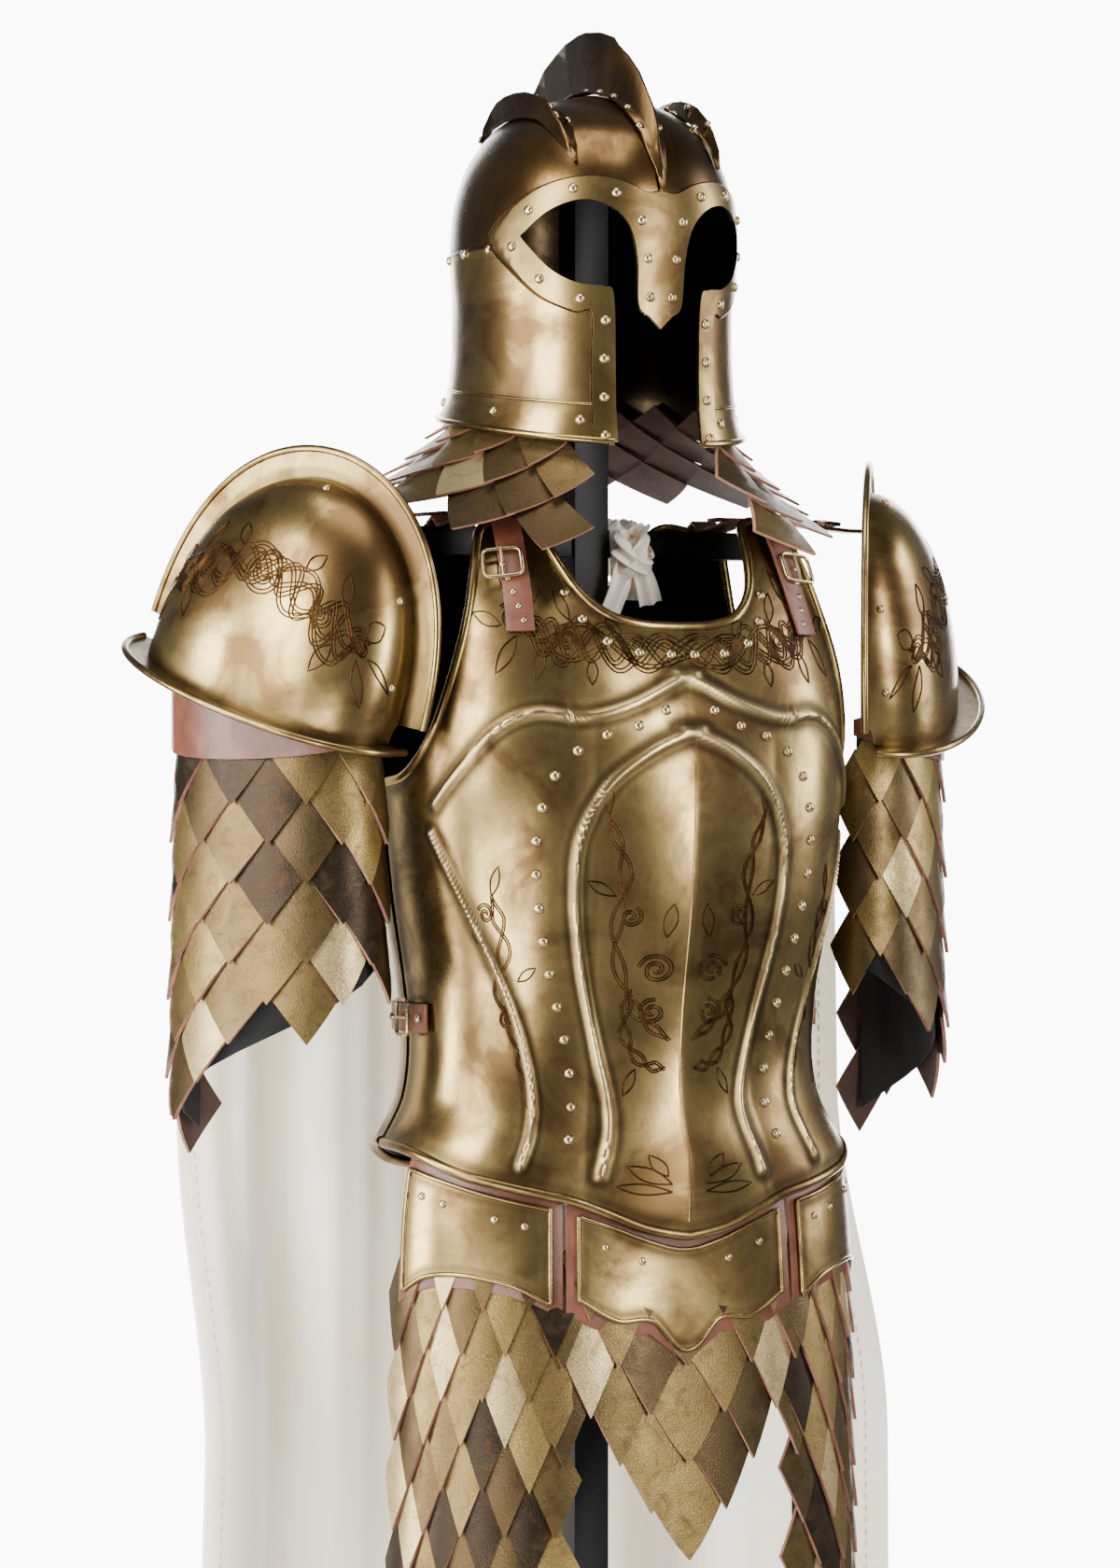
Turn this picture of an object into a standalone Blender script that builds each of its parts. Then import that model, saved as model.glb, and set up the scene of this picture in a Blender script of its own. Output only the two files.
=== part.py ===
# A suit of armour on its stand: helm, cuirass, pauldrons, scale sleeves and skirts, and a cloak.
# Metres, +Z up. The suit faces -Y, the wearer's right side is at -X, and the floor is Z = 0.
import math

import bmesh
import bpy
from mathutils import Matrix, Vector
from mathutils.bvhtree import BVHTree

# Driving dimensions: heights, from the helm's lower rim down
HELM_BOTTOM_Z = 1.545       # lower rim of the helm above the floor
HELM_HEIGHT = 0.285         # lower rim to the crown
NECK_SPAN = 0.060           # helm's rim above the shoulder ends of the plates
TORSO_SPAN = 0.553          # shoulder ends to the lowest point of the breastplate
CUIRASS_TOP_Z = HELM_BOTTOM_Z - NECK_SPAN
CUIRASS_POINT_Z = CUIRASS_TOP_Z - TORSO_SPAN
PAULDRON_Z = CUIRASS_TOP_Z - 0.133
SLEEVE_TOP_Z = PAULDRON_Z - 0.017
SKIRT_TOP_Z = CUIRASS_POINT_Z + 0.023
SHOULDER_BAR_Z = CUIRASS_TOP_Z - 0.023      # underside of the shoulder bar
WAIST_BAR_Z = CUIRASS_POINT_Z + 0.128
CLOAK_TOP_Z = CUIRASS_TOP_Z - 0.030
CLOAK_HEM_Z = 0.120         # hem above the floor

# Thicknesses and clearances
GAP = 0.0003                # clearance between pieces that touch
PLATE = 0.0016              # brass plate of the cuirass, pauldrons and tassets
HELM_WALL = 0.0018
LEATHER = 0.003             # scales, straps and backings
BACKING = 0.002             # black backing cloth of the scale panels
CLOAK_WALL = 0.003
RIM_R = 0.0042              # rolled rims
RIB_R = 0.0036              # beaded ribs
RIVET_R = 0.004
LAYER_GAP = 0.0007          # between layers that follow the body
BACKING_GAP = 0.0009        # between the scales and the cloth behind them
FOOT_GAP = 0.0021           # under the ridges' feet, over the creases of the helm
TASSET_H = -0.0041          # outer face of the tassets, measured from the cuirass's

# Stand
POST_SIDE = 0.030           # square tube
BASE_WIDTH = 0.46
BASE_DEPTH = 0.40
BASE_THICK = 0.010
SHOULDER_BAR_LENGTH = 0.34
SHOULDER_BAR_SIDE = 0.022
WAIST_BAR_LENGTH = 0.20
HEAD_PAD = 0.070
HEAD_PAD_THICK = 0.008

# Helm and aventail
HELM_HALF_WIDTH = 0.108
HELM_HALF_DEPTH = 0.128
HELM_CENTRE_Y = -0.015
HELM_RIM_RISE = 0.040       # how much higher the rim is at the back
COMB_HEIGHT = 0.050
COMB_THICK = 0.005
COMB_FOOT = 0.026           # full width of the comb's riveted foot
AVENTAIL_LENGTH = 0.105
AVENTAIL_FLARE = 0.070
AVENTAIL_FRONT = math.radians(38)

# Cuirass and its straps
CHEST_HALF_WIDTH = 0.188
CHEST_HALF_DEPTH = 0.142
CHEST_CENTRE_Y = -0.045
KEEL = 0.012                # how far the median ridge stands proud
KEEL_SPREAD = 0.35
BREAST_HALF_ANGLE = math.radians(94)
BACK_HALF_ANGLE = math.radians(83)
STRAP_WIDTH = 0.022
STRAP_ANGLE = math.radians(39)
SIDE_STRAP_SHARE = 0.30
SIDE_STRAP_LIFT = 0.0035

# Pauldrons and sleeves
PAULDRON_OUT = 0.262        # flange plane's centre from the middle plane
PAULDRON_BACK = 0.002
PAULDRON_TURN = math.radians(30)
PAULDRON_TILT = math.radians(20)
DOME_LENGTH = 0.118         # half length along the flange
DOME_HEIGHT = 0.170
DOME_DEPTH = 0.072
DOME_SWEEP = math.radians(93)
FLANGE = 0.024
BRIM = 0.020
SLEEVE_LENGTH = 0.340
ARM_HALF_ANGLE = math.radians(100)
ARM_LENGTH_RADIUS = 0.088
ARM_DEPTH_RADIUS = 0.052

# Tassets and skirts
FRONT_TASSET_HALF = math.radians(22)
SIDE_TASSET_ANGLE = math.radians(53)
SIDE_TASSET_HALF = math.radians(24)
SKIRT_TAIL = 0.300          # length of the pointed front panel below its top
SKIRT_SIDE = 0.520
FRONT_SKIRT_HALF = math.radians(26)
SIDE_SKIRT_ANGLE = math.radians(54)
SIDE_SKIRT_HALF = math.radians(26)

# Cloak
CLOAK_SPAN = 0.235          # half width at the top
CLOAK_FOLD = 0.018
CLOAK_FOLDS = 5.0
CLOAK_TOP_Y = 0.121
TIE_END = 0.34              # where the tie meets the cloak, as a share of its half width

# where each level of a scale lies below the lattice, in rows, and how far neighbours part, in columns
SCALE_LIP = (0.0, 0.02, 0.09)
SCALE_SPLIT = 0.03

# colour, roughness and metallic value of each finish
FINISHES = {
    "antique_brass": ((0.42, 0.30, 0.14), 0.34, 1.0),
    "scale_leather": ((0.30, 0.22, 0.09), 0.45, 0.6),
    "brown_leather": ((0.20, 0.06, 0.03), 0.55, 0.0),
    "black_cloth": ((0.02, 0.02, 0.02), 0.85, 0.0),
    "cream_cotton": ((0.80, 0.76, 0.66), 0.90, 0.0),
    "black_steel": ((0.02, 0.02, 0.02), 0.45, 0.3),
}


# Tools of the script

def clear_scene():
    for obj in list(bpy.data.objects):
        bpy.data.objects.remove(obj)


def collection(name):
    made = bpy.data.collections.new(name)
    bpy.context.scene.collection.children.link(made)
    return made


def finish_material(name, colour, roughness, metallic):
    material = bpy.data.materials.new(name)
    material.use_nodes = True
    shader = material.node_tree.nodes["Principled BSDF"]
    shader.inputs["Base Color"].default_value = (*colour, 1.0)
    shader.inputs["Roughness"].default_value = roughness
    shader.inputs["Metallic"].default_value = metallic
    return material


def add_mesh(name, points, faces):
    """A mesh object with its faces turned outward."""
    mesh = bpy.data.meshes.new(name)
    mesh.from_pydata([tuple(p) for p in points], [], faces)
    shape = bmesh.new()
    shape.from_mesh(mesh)
    bmesh.ops.recalc_face_normals(shape, faces=shape.faces)
    shape.to_mesh(mesh)
    shape.free()
    obj = bpy.data.objects.new(name, mesh)
    PARTS.objects.link(obj)
    return obj


def settle(obj):
    """Puts the evaluated mesh in the object, so that its modifiers and its curve become plain faces."""
    bpy.context.view_layer.update()
    graph = bpy.context.evaluated_depsgraph_get()
    mesh = bpy.data.meshes.new_from_object(obj.evaluated_get(graph))
    shape = bmesh.new()
    shape.from_mesh(mesh)
    bmesh.ops.remove_doubles(shape, verts=shape.verts, dist=1e-6)
    bmesh.ops.recalc_face_normals(shape, faces=shape.faces)
    shape.to_mesh(mesh)
    shape.free()
    solid = bpy.data.objects.new(obj.name + "_solid", mesh)
    solid.matrix_world = obj.matrix_world.copy()
    name = obj.name
    PARTS.objects.link(solid)
    bpy.data.objects.remove(obj)
    solid.name = name
    return solid


def combine(obj, other, operation, solver="EXACT"):
    """Joins other to obj, cuts it away or keeps what they share, and removes other."""
    change = obj.modifiers.new(operation.lower(), "BOOLEAN")
    change.operation = operation
    change.object = other
    change.solver = solver
    solid = settle(obj)
    bpy.data.objects.remove(other)
    return solid


def grid_faces(rows, columns, closed=False):
    across = columns if closed else columns - 1
    return [
        (r * columns + c, r * columns + (c + 1) % columns,
         (r + 1) * columns + (c + 1) % columns, (r + 1) * columns + c)
        for r in range(rows - 1)
        for c in range(across)
    ]


def thick_grid(name, outer, inner, closed=False):
    """A closed plate between two grids of points of the same size."""
    rows = len(outer)
    columns = len(outer[0])
    points = [p for row in outer for p in row] + [p for row in inner for p in row]
    count = rows * columns
    faces = grid_faces(rows, columns, closed)
    faces += [tuple(count + i for i in reversed(face)) for face in faces]
    edge = [(0, c) for c in range(columns)]
    if closed:
        loops = [edge + [(0, 0)], [(rows - 1, c) for c in range(columns)] + [(rows - 1, 0)]]
    else:
        edge += [(r, columns - 1) for r in range(1, rows)]
        edge += [(rows - 1, c) for c in range(columns - 2, -1, -1)]
        edge += [(r, 0) for r in range(rows - 2, -1, -1)]
        loops = [edge]
    for loop in loops:
        for (r0, c0), (r1, c1) in zip(loop, loop[1:]):
            a = r0 * columns + c0
            b = r1 * columns + c1
            faces.append((a, b, count + b, count + a))
    return add_mesh(name, points, faces)


# how far in from a rolled edge, and how far out from the plate's two faces, in bead radii
ROLLED_EDGE = ((0.0, 0.45, -0.20), (0.85, 1.00, -0.80), (2.1, 0.0, 0.0))


def rolled_rows(edge, inward, normal, radius, wall, middle=0.0):
    """Rows of a bead along an edge, from the edge inward: (outer rows, inner rows)."""
    outer, inner = [], []
    for into, rise, fall in ROLLED_EDGE:
        outer.append([p + b * (into * radius) + n * (middle + rise * radius)
                      for p, b, n in zip(edge, inward, normal)])
        inner.append([p + b * (into * radius) + n * (middle - wall + fall * radius)
                      for p, b, n in zip(edge, inward, normal)])
    return outer, inner


def inward_of(edge, normal, toward):
    """The direction in the surface, square to the edge, that points into the plate."""
    found = []
    for i, (point, n) in enumerate(zip(edge, normal)):
        along = edge[min(i + 1, len(edge) - 1)] - edge[max(i - 1, 0)]
        way = n.cross(along).normalized()
        found.append(way if way.dot(toward[i] - point) > 0 else -way)
    return found


def plate(name, surface, rows, columns, outside, wall, closed=False):
    """A plate on surface(column, row, height), whose outer face is outside above it."""
    outer = [[surface(c, r, outside) for c in columns] for r in rows]
    inner = [[surface(c, r, outside - wall) for c in columns] for r in rows]
    return thick_grid(name, outer, inner, closed)


def bar(name, centre, size):
    """A square bar, as a box primitive."""
    bpy.ops.mesh.primitive_cube_add(size=1, location=centre)
    obj = bpy.context.active_object
    obj.name = name
    obj.scale = size
    bpy.ops.object.transform_apply(location=True, rotation=False, scale=True)
    for holder in list(obj.users_collection):
        holder.objects.unlink(obj)
    PARTS.objects.link(obj)
    return obj


def rod(name, points, radius, closed=False, resolution=1):
    """A bead or a wire along points, as a mesh."""
    curve = bpy.data.curves.new(name, "CURVE")
    curve.dimensions = "3D"
    curve.bevel_depth = radius
    curve.bevel_resolution = resolution
    curve.use_fill_caps = True
    spline = curve.splines.new("POLY")
    spline.points.add(len(points) - 1)
    for target, point in zip(spline.points, points):
        target.co = (*point, 1.0)
    spline.use_cyclic_u = closed
    obj = bpy.data.objects.new(name, curve)
    PARTS.objects.link(obj)
    return settle(obj)


def prism(name, outline, near, far):
    """A flat outline in X and Z, extruded along Y from near to far."""
    points = [Vector((x, near, z)) for x, z in outline] + [Vector((x, far, z)) for x, z in outline]
    count = len(outline)
    faces = [tuple(range(count)), tuple(reversed(range(count, 2 * count)))]
    faces += [(i, count + i, count + (i + 1) % count, (i + 1) % count) for i in range(count)]
    return add_mesh(name, points, faces)


def smooth(table, where):
    """The other columns of a table at a value of its first one, on a curve through its rows."""
    last = len(table) - 2
    i = 0
    while i < last and where > table[i + 1][0]:
        i += 1
    low, high = table[i], table[i + 1]
    before, after = table[max(i - 1, 0)], table[min(i + 2, last + 1)]
    width = high[0] - low[0]
    t = min(max((where - low[0]) / width, 0.0), 1.0)
    values = []
    for k in range(1, len(low)):
        slope_low = (high[k] - before[k]) / (high[0] - before[0]) * width
        slope_high = (after[k] - low[k]) / (after[0] - low[0]) * width
        values.append(
            (2 * t**3 - 3 * t**2 + 1) * low[k] + (t**3 - 2 * t**2 + t) * slope_low
            + (3 * t**2 - 2 * t**3) * high[k] + (t**3 - t**2) * slope_high
        )
    return values


def spread(start, end, count):
    return [start + (end - start) * i / (count - 1) for i in range(count)]


def lifted(surface, a, b, height, step=1e-3):
    """A point of surface(a, b), moved out along the surface's normal by height."""
    here = surface(a, b)
    along = surface(a + step, b) - surface(a - step, b)
    up = surface(a, b + step) - surface(a, b - step)
    return here + along.cross(up).normalized() * height


def superellipse(angle, power):
    """(sideways, forward) of a unit section whose corners are fuller than a circle's."""
    side, front = math.sin(angle), math.cos(angle)
    return (math.copysign(abs(side) ** (2 / power), side),
            math.copysign(abs(front) ** (2 / power), front))


def scale_field(name, surface, keep, columns, rows, thick, wall):
    """Overlapping lozenge scales on one backing, as one body. surface(a, b, height) takes a and b from
    0 to 1. Lozenge (column, row) has its centre where column + row is even and spans one step to each
    side, and keep(column, row) says whether it is there. Each rises by thick from its top to its point."""
    there = {
        (c, r)
        for c in range(1, columns)
        for r in range(1, rows)
        if (c + r) % 2 == 0 and keep(c, r)
    }
    points = []
    index = {}

    def corner(place, level, side=0):
        c, r = place
        split = level == 1 and (c, r - 1) not in there and (c - 1, r) in there and (c + 1, r) in there
        key = (place, level, side if split else 0)
        if key not in index:
            index[key] = len(points)
            height = -wall if level is None else thick * level / 2
            down = 0.0 if level is None else SCALE_LIP[level]
            across = SCALE_SPLIT * side if split else 0.0
            points.append(surface((c + across) / columns, (r + down) / rows, height))
        return index[key]

    def levels(place):
        c, r = place
        found = [0] if (c, r + 1) in there else []
        found += [1] if (c - 1, r) in there or (c + 1, r) in there else []
        return found + ([2] if (c, r - 1) in there else [])

    def post(place, level, side):
        """The upright edge at a corner, from the backing up to this level."""
        lower = [corner(place, used) for used in levels(place) if used < level]
        return [corner(place, None)] + lower + [corner(place, level, side)]

    faces = []
    for c, r in sorted(there):
        top, left, right, low = (c, r - 1), (c - 1, r), (c + 1, r), (c, r + 1)
        faces.append((corner(top, 0), corner(left, 1, 1), corner(low, 2)))
        faces.append((corner(top, 0), corner(low, 2), corner(right, 1, -1)))
        faces.append((corner(top, None), corner(low, None), corner(left, None)))
        faces.append((corner(top, None), corner(right, None), corner(low, None)))
        for side, end in ((-1, left), (1, right)):
            if (c + side, r + 1) in there:
                faces.append((corner(end, 1, -side), corner(end, 0), corner(low, 1), corner(low, 2)))
            else:
                faces.append(tuple(post(end, 1, -side) + post(low, 2, 0)[::-1]))
            if (c + side, r - 1) not in there:
                faces.append(tuple(post(top, 0, 0) + post(end, 1, -side)[::-1]))
    return add_mesh(name, points, faces)


# Surfaces that the pieces follow

# height share, half width share, front share, back share, keel share; heights from the breastplate's
# point to the shoulder ends, widths of the chest's
TORSO = (
    (-1.00, 1.12, 1.06, 1.00, 0.0),
    (-0.35, 1.10, 1.06, 1.00, 0.0),
    (-0.06, 1.08, 1.02, 0.98, 0.0),
    (0.10, 1.03, 0.95, 0.93, 1.0),
    (0.19, 0.91, 0.84, 0.86, 1.0),
    (0.30, 0.89, 0.86, 0.88, 1.0),
    (0.48, 0.96, 0.99, 0.96, 1.0),
    (0.64, 1.00, 1.05, 1.00, 0.7),
    (0.78, 0.99, 0.99, 0.96, 0.0),
    (0.90, 0.94, 0.76, 0.80, 0.0),
    (1.00, 0.90, 0.44, 0.64, 0.0),
)


def torso_height(share):
    return CUIRASS_POINT_Z + share * (CUIRASS_TOP_Z - CUIRASS_POINT_Z)


def torso(angle, share):
    """A point of the cuirass's outer face; angle 0 is the middle of the front."""
    width, front, back, ridge_share = smooth(TORSO, share)
    side, ahead = superellipse(angle, 2.35)
    depth = front if ahead > 0 else back
    keel = KEEL * ridge_share * max(0.0, 1 - abs(math.sin(angle)) / KEEL_SPREAD) if ahead > 0 else 0.0
    return Vector((
        CHEST_HALF_WIDTH * width * side,
        CHEST_CENTRE_Y - CHEST_HALF_DEPTH * depth * ahead - keel,
        torso_height(share),
    ))


def on_torso(angle, share, height):
    return lifted(torso, angle, share, height)


# height share, half width share, front share, back share
HELM = (
    (0.00, 1.07, 1.00, 1.10),
    (0.10, 1.01, 0.97, 1.03),
    (0.35, 0.98, 0.97, 0.99),
    (0.56, 1.00, 1.00, 1.00),
    (0.70, 0.97, 0.99, 0.97),
    (0.82, 0.86, 0.89, 0.87),
    (0.91, 0.67, 0.70, 0.69),
    (0.97, 0.40, 0.42, 0.41),
    (0.995, 0.15, 0.16, 0.16),
)


def helm(angle, share):
    """A point of the helm's outer face; the lower rim rises towards the back."""
    width, front, back = smooth(HELM, share)
    side, ahead = superellipse(angle, 2.15)
    depth = front if ahead > 0 else back
    rise = HELM_RIM_RISE * (1 - math.cos(angle)) / 2 * max(0.0, 1 - share / 0.5)
    return Vector((
        HELM_HALF_WIDTH * width * side,
        HELM_CENTRE_Y - HELM_HALF_DEPTH * depth * ahead,
        HELM_BOTTOM_Z + HELM_HEIGHT * share + rise,
    ))


def on_helm(angle, share, height):
    return lifted(helm, angle, share, height)


# Pieces of the helm

# half width share of the helm's, height share of the helm's height; the right half of the face
# opening from the foot of the slot round the eye to the point of the nasal
OPENING = (
    (0.34, -0.20), (0.335, 0.20), (0.35, 0.400), (0.42, 0.428), (0.58, 0.437), (0.74, 0.478),
    (0.87, 0.560), (0.86, 0.585), (0.74, 0.640), (0.56, 0.665), (0.38, 0.645), (0.25, 0.590),
    (0.19, 0.500), (0.165, 0.375), (0.00, 0.325),
)
BAND = (
    (0.50, -0.20), (0.49, 0.20), (0.49, 0.355), (0.60, 0.362), (0.80, 0.415), (0.955, 0.530),
    (0.955, 0.615), (0.80, 0.695), (0.56, 0.728), (0.30, 0.715), (0.12, 0.685), (0.00, 0.690),
)


def face_prism(name, half):
    """The whole outline of a face opening or band, run back through the front of the helm."""
    right = [(HELM_HALF_WIDTH * x, HELM_BOTTOM_Z + HELM_HEIGHT * z) for x, z in half]
    left = [(-x, z) for x, z in reversed(right) if x > 0]
    return prism(name, right + left, HELM_CENTRE_Y - 2 * HELM_HALF_DEPTH, HELM_CENTRE_Y - 0.012)


HELM_SIDES = 28
HELM_ROWS = (0.045, 0.12, 0.35, 0.50, 0.60, 0.70, 0.77, 0.84, 0.91, 0.965, 0.993)


def make_helm():
    angles = spread(0, 2 * math.pi, HELM_SIDES + 1)[:-1]
    shell = dome("helm", angles, HELM_ROWS, 0.0, HELM_WALL)
    shell = combine(shell, face_prism("face_opening", OPENING), "DIFFERENCE")
    return paint(shell, "antique_brass")


def dome(name, angles, shares, outside, wall):
    """A closed shell of the helm's form, open below."""
    points = []
    faces = []
    count = len(angles)
    edge = [on_helm(a, 0.0, outside) for a in angles]
    normal = [(on_helm(a, 0.0, 0.01) - on_helm(a, 0.0, 0)).normalized() for a in angles]
    up = [Vector((0, 0, 1)) for _ in angles]
    beads = rolled_rows(edge, up, normal, RIM_R * 0.8, wall)
    for height, flip, bead in ((outside, False, beads[0]), (outside - wall, True, beads[1])):
        first = len(points)
        points += [p for row in bead[:2] for p in row]
        points += [on_helm(a, s, height) for s in shares for a in angles]
        crown = len(points)
        points.append(Vector((0, HELM_CENTRE_Y, HELM_BOTTOM_Z + HELM_HEIGHT + height)))
        skin = [tuple(first + i for i in face) for face in grid_faces(len(shares) + 2, count, True)]
        last = first + (len(shares) + 1) * count
        skin += [(last + i, last + (i + 1) % count, crown) for i in range(count)]
        faces += [face[::-1] for face in skin] if flip else skin
    inner = count * (len(shares) + 2) + 1
    faces += [(i, (i + 1) % count, inner + (i + 1) % count, inner + i) for i in range(count)]
    return add_mesh(name, points, faces)


def make_helm_band():
    step = 2 * math.pi / HELM_SIDES
    angles = [step * i for i in range(-HELM_SIDES // 4, HELM_SIDES // 4 + 1)]
    shares = [share for share in HELM_ROWS if share < 0.80]
    band = plate("helm_band", on_helm, shares, angles, HELM_WALL + GAP, HELM_WALL)
    band = combine(band, face_prism("band_outline", BAND), "INTERSECT")
    band = combine(band, face_prism("band_opening", OPENING), "DIFFERENCE")
    return paint(band, "antique_brass")


def ridge(name, stations, thick, wall):
    """A riveted foot with an upright fin, lofted over stations of
    (point, outward, across, fin height, half width of the foot)."""
    points = []
    for point, out, across, tall, half in stations:
        fin = min(thick / 2, half * 0.45)
        profile = (
            (-half, 0), (half, 0), (half * 0.94, wall), (fin, wall), (fin * 0.55, wall + tall),
            (-fin * 0.55, wall + tall), (-fin, wall), (-half * 0.94, wall),
        )
        points += [point + across * x + out * (y + FOOT_GAP) for x, y in profile]
    count = 8
    faces = grid_faces(len(stations), count, True)
    faces.append(tuple(range(count)))
    faces.append(tuple(reversed(range(len(points) - count, len(points)))))
    return add_mesh(name, points, faces)


def helm_stations(skin, across_offset, start, end, count, heights):
    """Stations along the helm in an upright plane, from the brow over the crown.
    heights has (share along, fin height, foot half width)."""
    centre = Vector((across_offset, HELM_CENTRE_Y, HELM_BOTTOM_Z + HELM_HEIGHT * 0.55))
    stations = []
    for i in range(count):
        share = i / (count - 1)
        angle = start + (end - start) * share
        away = Vector((0, -math.cos(angle), math.sin(angle)))
        point, out, _, _ = skin.ray_cast(centre + away * 0.5, -away)
        across = (Vector((1, 0, 0)) - out * out.x).normalized()
        fin, half = smooth(heights, share)
        stations.append((point, out, across, fin, half))
    return stations


# share along the comb from the brow, fin height and foot half width as shares of the comb's
COMB = ((0.0, 0.02, 0.12), (0.10, 0.10, 0.62), (0.22, 0.34, 1.0), (0.42, 0.86, 1.0), (0.58, 1.0, 1.0),
        (0.78, 0.80, 1.0), (0.92, 0.34, 0.90), (1.0, 0.06, 0.50))
SIDE_RIB = ((0.0, 0.02, 0.10), (0.15, 0.14, 0.60), (0.45, 0.30, 0.80), (0.75, 0.30, 0.80), (1.0, 0.04, 0.30))


def make_ridges(skin):
    made = []
    places = (("helm_comb", 0.0, math.radians(18), math.radians(158), 22, COMB, "antique_brass"),
              ("helm_rib_right", -0.56, math.radians(32), math.radians(128), 13, SIDE_RIB, "antique_brass"),
              ("helm_rib_left", 0.56, math.radians(32), math.radians(128), 13, SIDE_RIB, "antique_brass"))
    for name, aside, start, end, count, shares, finish in places:
        table = [(s, COMB_HEIGHT * fin, COMB_FOOT / 2 * foot) for s, fin, foot in shares]
        stations = helm_stations(skin, aside * HELM_HALF_WIDTH, start, end, count, table)
        made.append(paint(ridge(name, stations, COMB_THICK, HELM_WALL), finish))
    return made


def aventail_point(a, b, height):
    """Leather that hangs inside the helm's rim and flares out below it."""
    angle = AVENTAIL_FRONT + (2 * math.pi - 2 * AVENTAIL_FRONT) * a
    top = helm(angle, 0.06)
    away = Vector((math.sin(angle), -math.cos(angle), 0))
    out = Vector((away.x, away.y, 0.35)).normalized()
    reach = AVENTAIL_FLARE * max(0.0, b - 0.22) ** 1.25 * 1.35
    drop = AVENTAIL_LENGTH * b * (0.74 + 0.34 * max(0.0, math.cos(angle)))
    inset = HELM_WALL + RIM_R + LEATHER + 0.002
    return top + away * (reach - inset) - Vector((0, 0, drop)) + out * height


AVENTAIL_STUDS = (5, 13, 19)   # lattice columns that hang from the helm by a stud


def make_aventail(helm_tree):
    columns, rows = 24, 5
    scales = scale_field("aventail", aventail_point, lambda c, r: True,
                         columns, rows, LEATHER, LEATHER * 0.7)
    places = []
    for column in AVENTAIL_STUDS:
        a = column / columns
        places.append((aventail_point(a, 0.10, -0.001), aventail_point(a, 0.10, 0.01)))
    scales = studs(scales, places, helm_tree)
    return paint(scales, "scale_leather")


def tree_of(obj):
    return BVHTree.FromObject(obj, bpy.context.evaluated_depsgraph_get())


def studs(obj, places, target, radius=RIVET_R):
    """Rivet shanks from inside this piece to just short of the piece that carries it."""
    for start, through in places:
        way = (through - start).normalized()
        aside = way.orthogonal().normalized() * radius
        starts = [start] + [start + Matrix.Rotation(math.pi / 4 * i, 3, way) @ aside for i in range(8)]
        hits = [target.ray_cast(point, way)[3] for point in starts]
        if None in hits:
            raise ValueError(f"{obj.name}: a rivet meets nothing")
        shank = rod(obj.name + "_rivet", [start, start + way * (min(hits) - GAP)], radius)
        obj = combine(obj, shank, "UNION")
    return obj


# Pieces of the cuirass

# share of the plate's half angle, top share, bottom share
BREAST_EDGE = (
    (0.00, 0.850, 0.000), (0.08, 0.853, 0.012), (0.16, 0.868, 0.032), (0.23, 0.905, 0.048),
    (0.275, 0.955, 0.055), (0.305, 1.000, 0.058), (0.42, 1.000, 0.070), (0.52, 0.985, 0.080),
    (0.565, 0.930, 0.084), (0.61, 0.850, 0.090), (0.67, 0.770, 0.098), (0.75, 0.695, 0.108),
    (0.87, 0.645, 0.118), (1.00, 0.630, 0.122),
)
BACK_EDGE = (
    (0.00, 0.900, 0.060), (0.14, 0.910, 0.062), (0.24, 0.945, 0.066), (0.30, 1.000, 0.070),
    (0.46, 1.000, 0.080), (0.58, 0.985, 0.090), (0.66, 0.860, 0.100), (0.75, 0.740, 0.110),
    (0.87, 0.655, 0.120), (1.00, 0.630, 0.124),
)


def cuirass_plate(name, edge, middle, half_angle, rows):
    """A plate of the torso between its lower and upper edge, with rolled rims there."""
    sides = [-row[0] for row in reversed(edge) if row[0] > 0] + [row[0] for row in edge]
    columns = [(middle + s * half_angle, *smooth(edge, abs(s))) for s in sides]
    shares = spread(0, 1, rows)
    outer = [[on_torso(a, low + (top - low) * v, 0) for a, top, low in columns] for v in shares]
    inner = [[on_torso(a, low + (top - low) * v, -PLATE) for a, top, low in columns] for v in shares]
    rolled = []
    for edge, inside, share_of in ((outer[0], outer[1], 2), (outer[-1], outer[-2], 1)):
        normal = [(on_torso(c[0], c[share_of], 0.01) - on_torso(c[0], c[share_of], 0)).normalized()
                  for c in columns]
        rolled.append(rolled_rows(edge, inward_of(edge, normal, inside), normal, RIM_R, PLATE))
    outer = rolled[0][0] + outer[1:-1] + rolled[1][0][::-1]
    inner = rolled[0][1] + inner[1:-1] + rolled[1][1][::-1]
    return thick_grid(name, outer, inner)


def rib(obj, table, half_angle):
    """A raised bead on each side of the breastplate, along (share of half angle, height share)."""
    for side in (1, -1):
        line = [on_torso(side * s * half_angle, t, -PLATE / 2) for s, t in table]
        obj = combine(obj, rod("breast_rib", line, RIB_R, False, 0), "UNION", "MANIFOLD")
    return obj


ARCH = ((0.74, 0.600), (0.62, 0.655), (0.50, 0.705), (0.38, 0.728), (0.24, 0.722), (0.11, 0.742),
        (-0.012, 0.782))
PANEL = ((-0.012, 0.704), (0.09, 0.672), (0.19, 0.625), (0.26, 0.555), (0.275, 0.470), (0.255, 0.370),
         (0.21, 0.270), (0.17, 0.190), (0.165, 0.140), (0.185, 0.085))
FLUTE = ((0.76, 0.560), (0.66, 0.480), (0.55, 0.385), (0.46, 0.290), (0.40, 0.200), (0.385, 0.140),
         (0.40, 0.100))


def make_breastplate():
    plate_half = BREAST_HALF_ANGLE
    obj = cuirass_plate("breastplate", BREAST_EDGE, 0.0, plate_half, 8)
    for table in (ARCH, PANEL, FLUTE):
        obj = rib(obj, table, plate_half)
    return paint(obj, "antique_brass")


def make_backplate():
    obj = cuirass_plate("backplate", BACK_EDGE, math.pi, BACK_HALF_ANGLE, 6)
    return paint(obj, "antique_brass")


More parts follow.
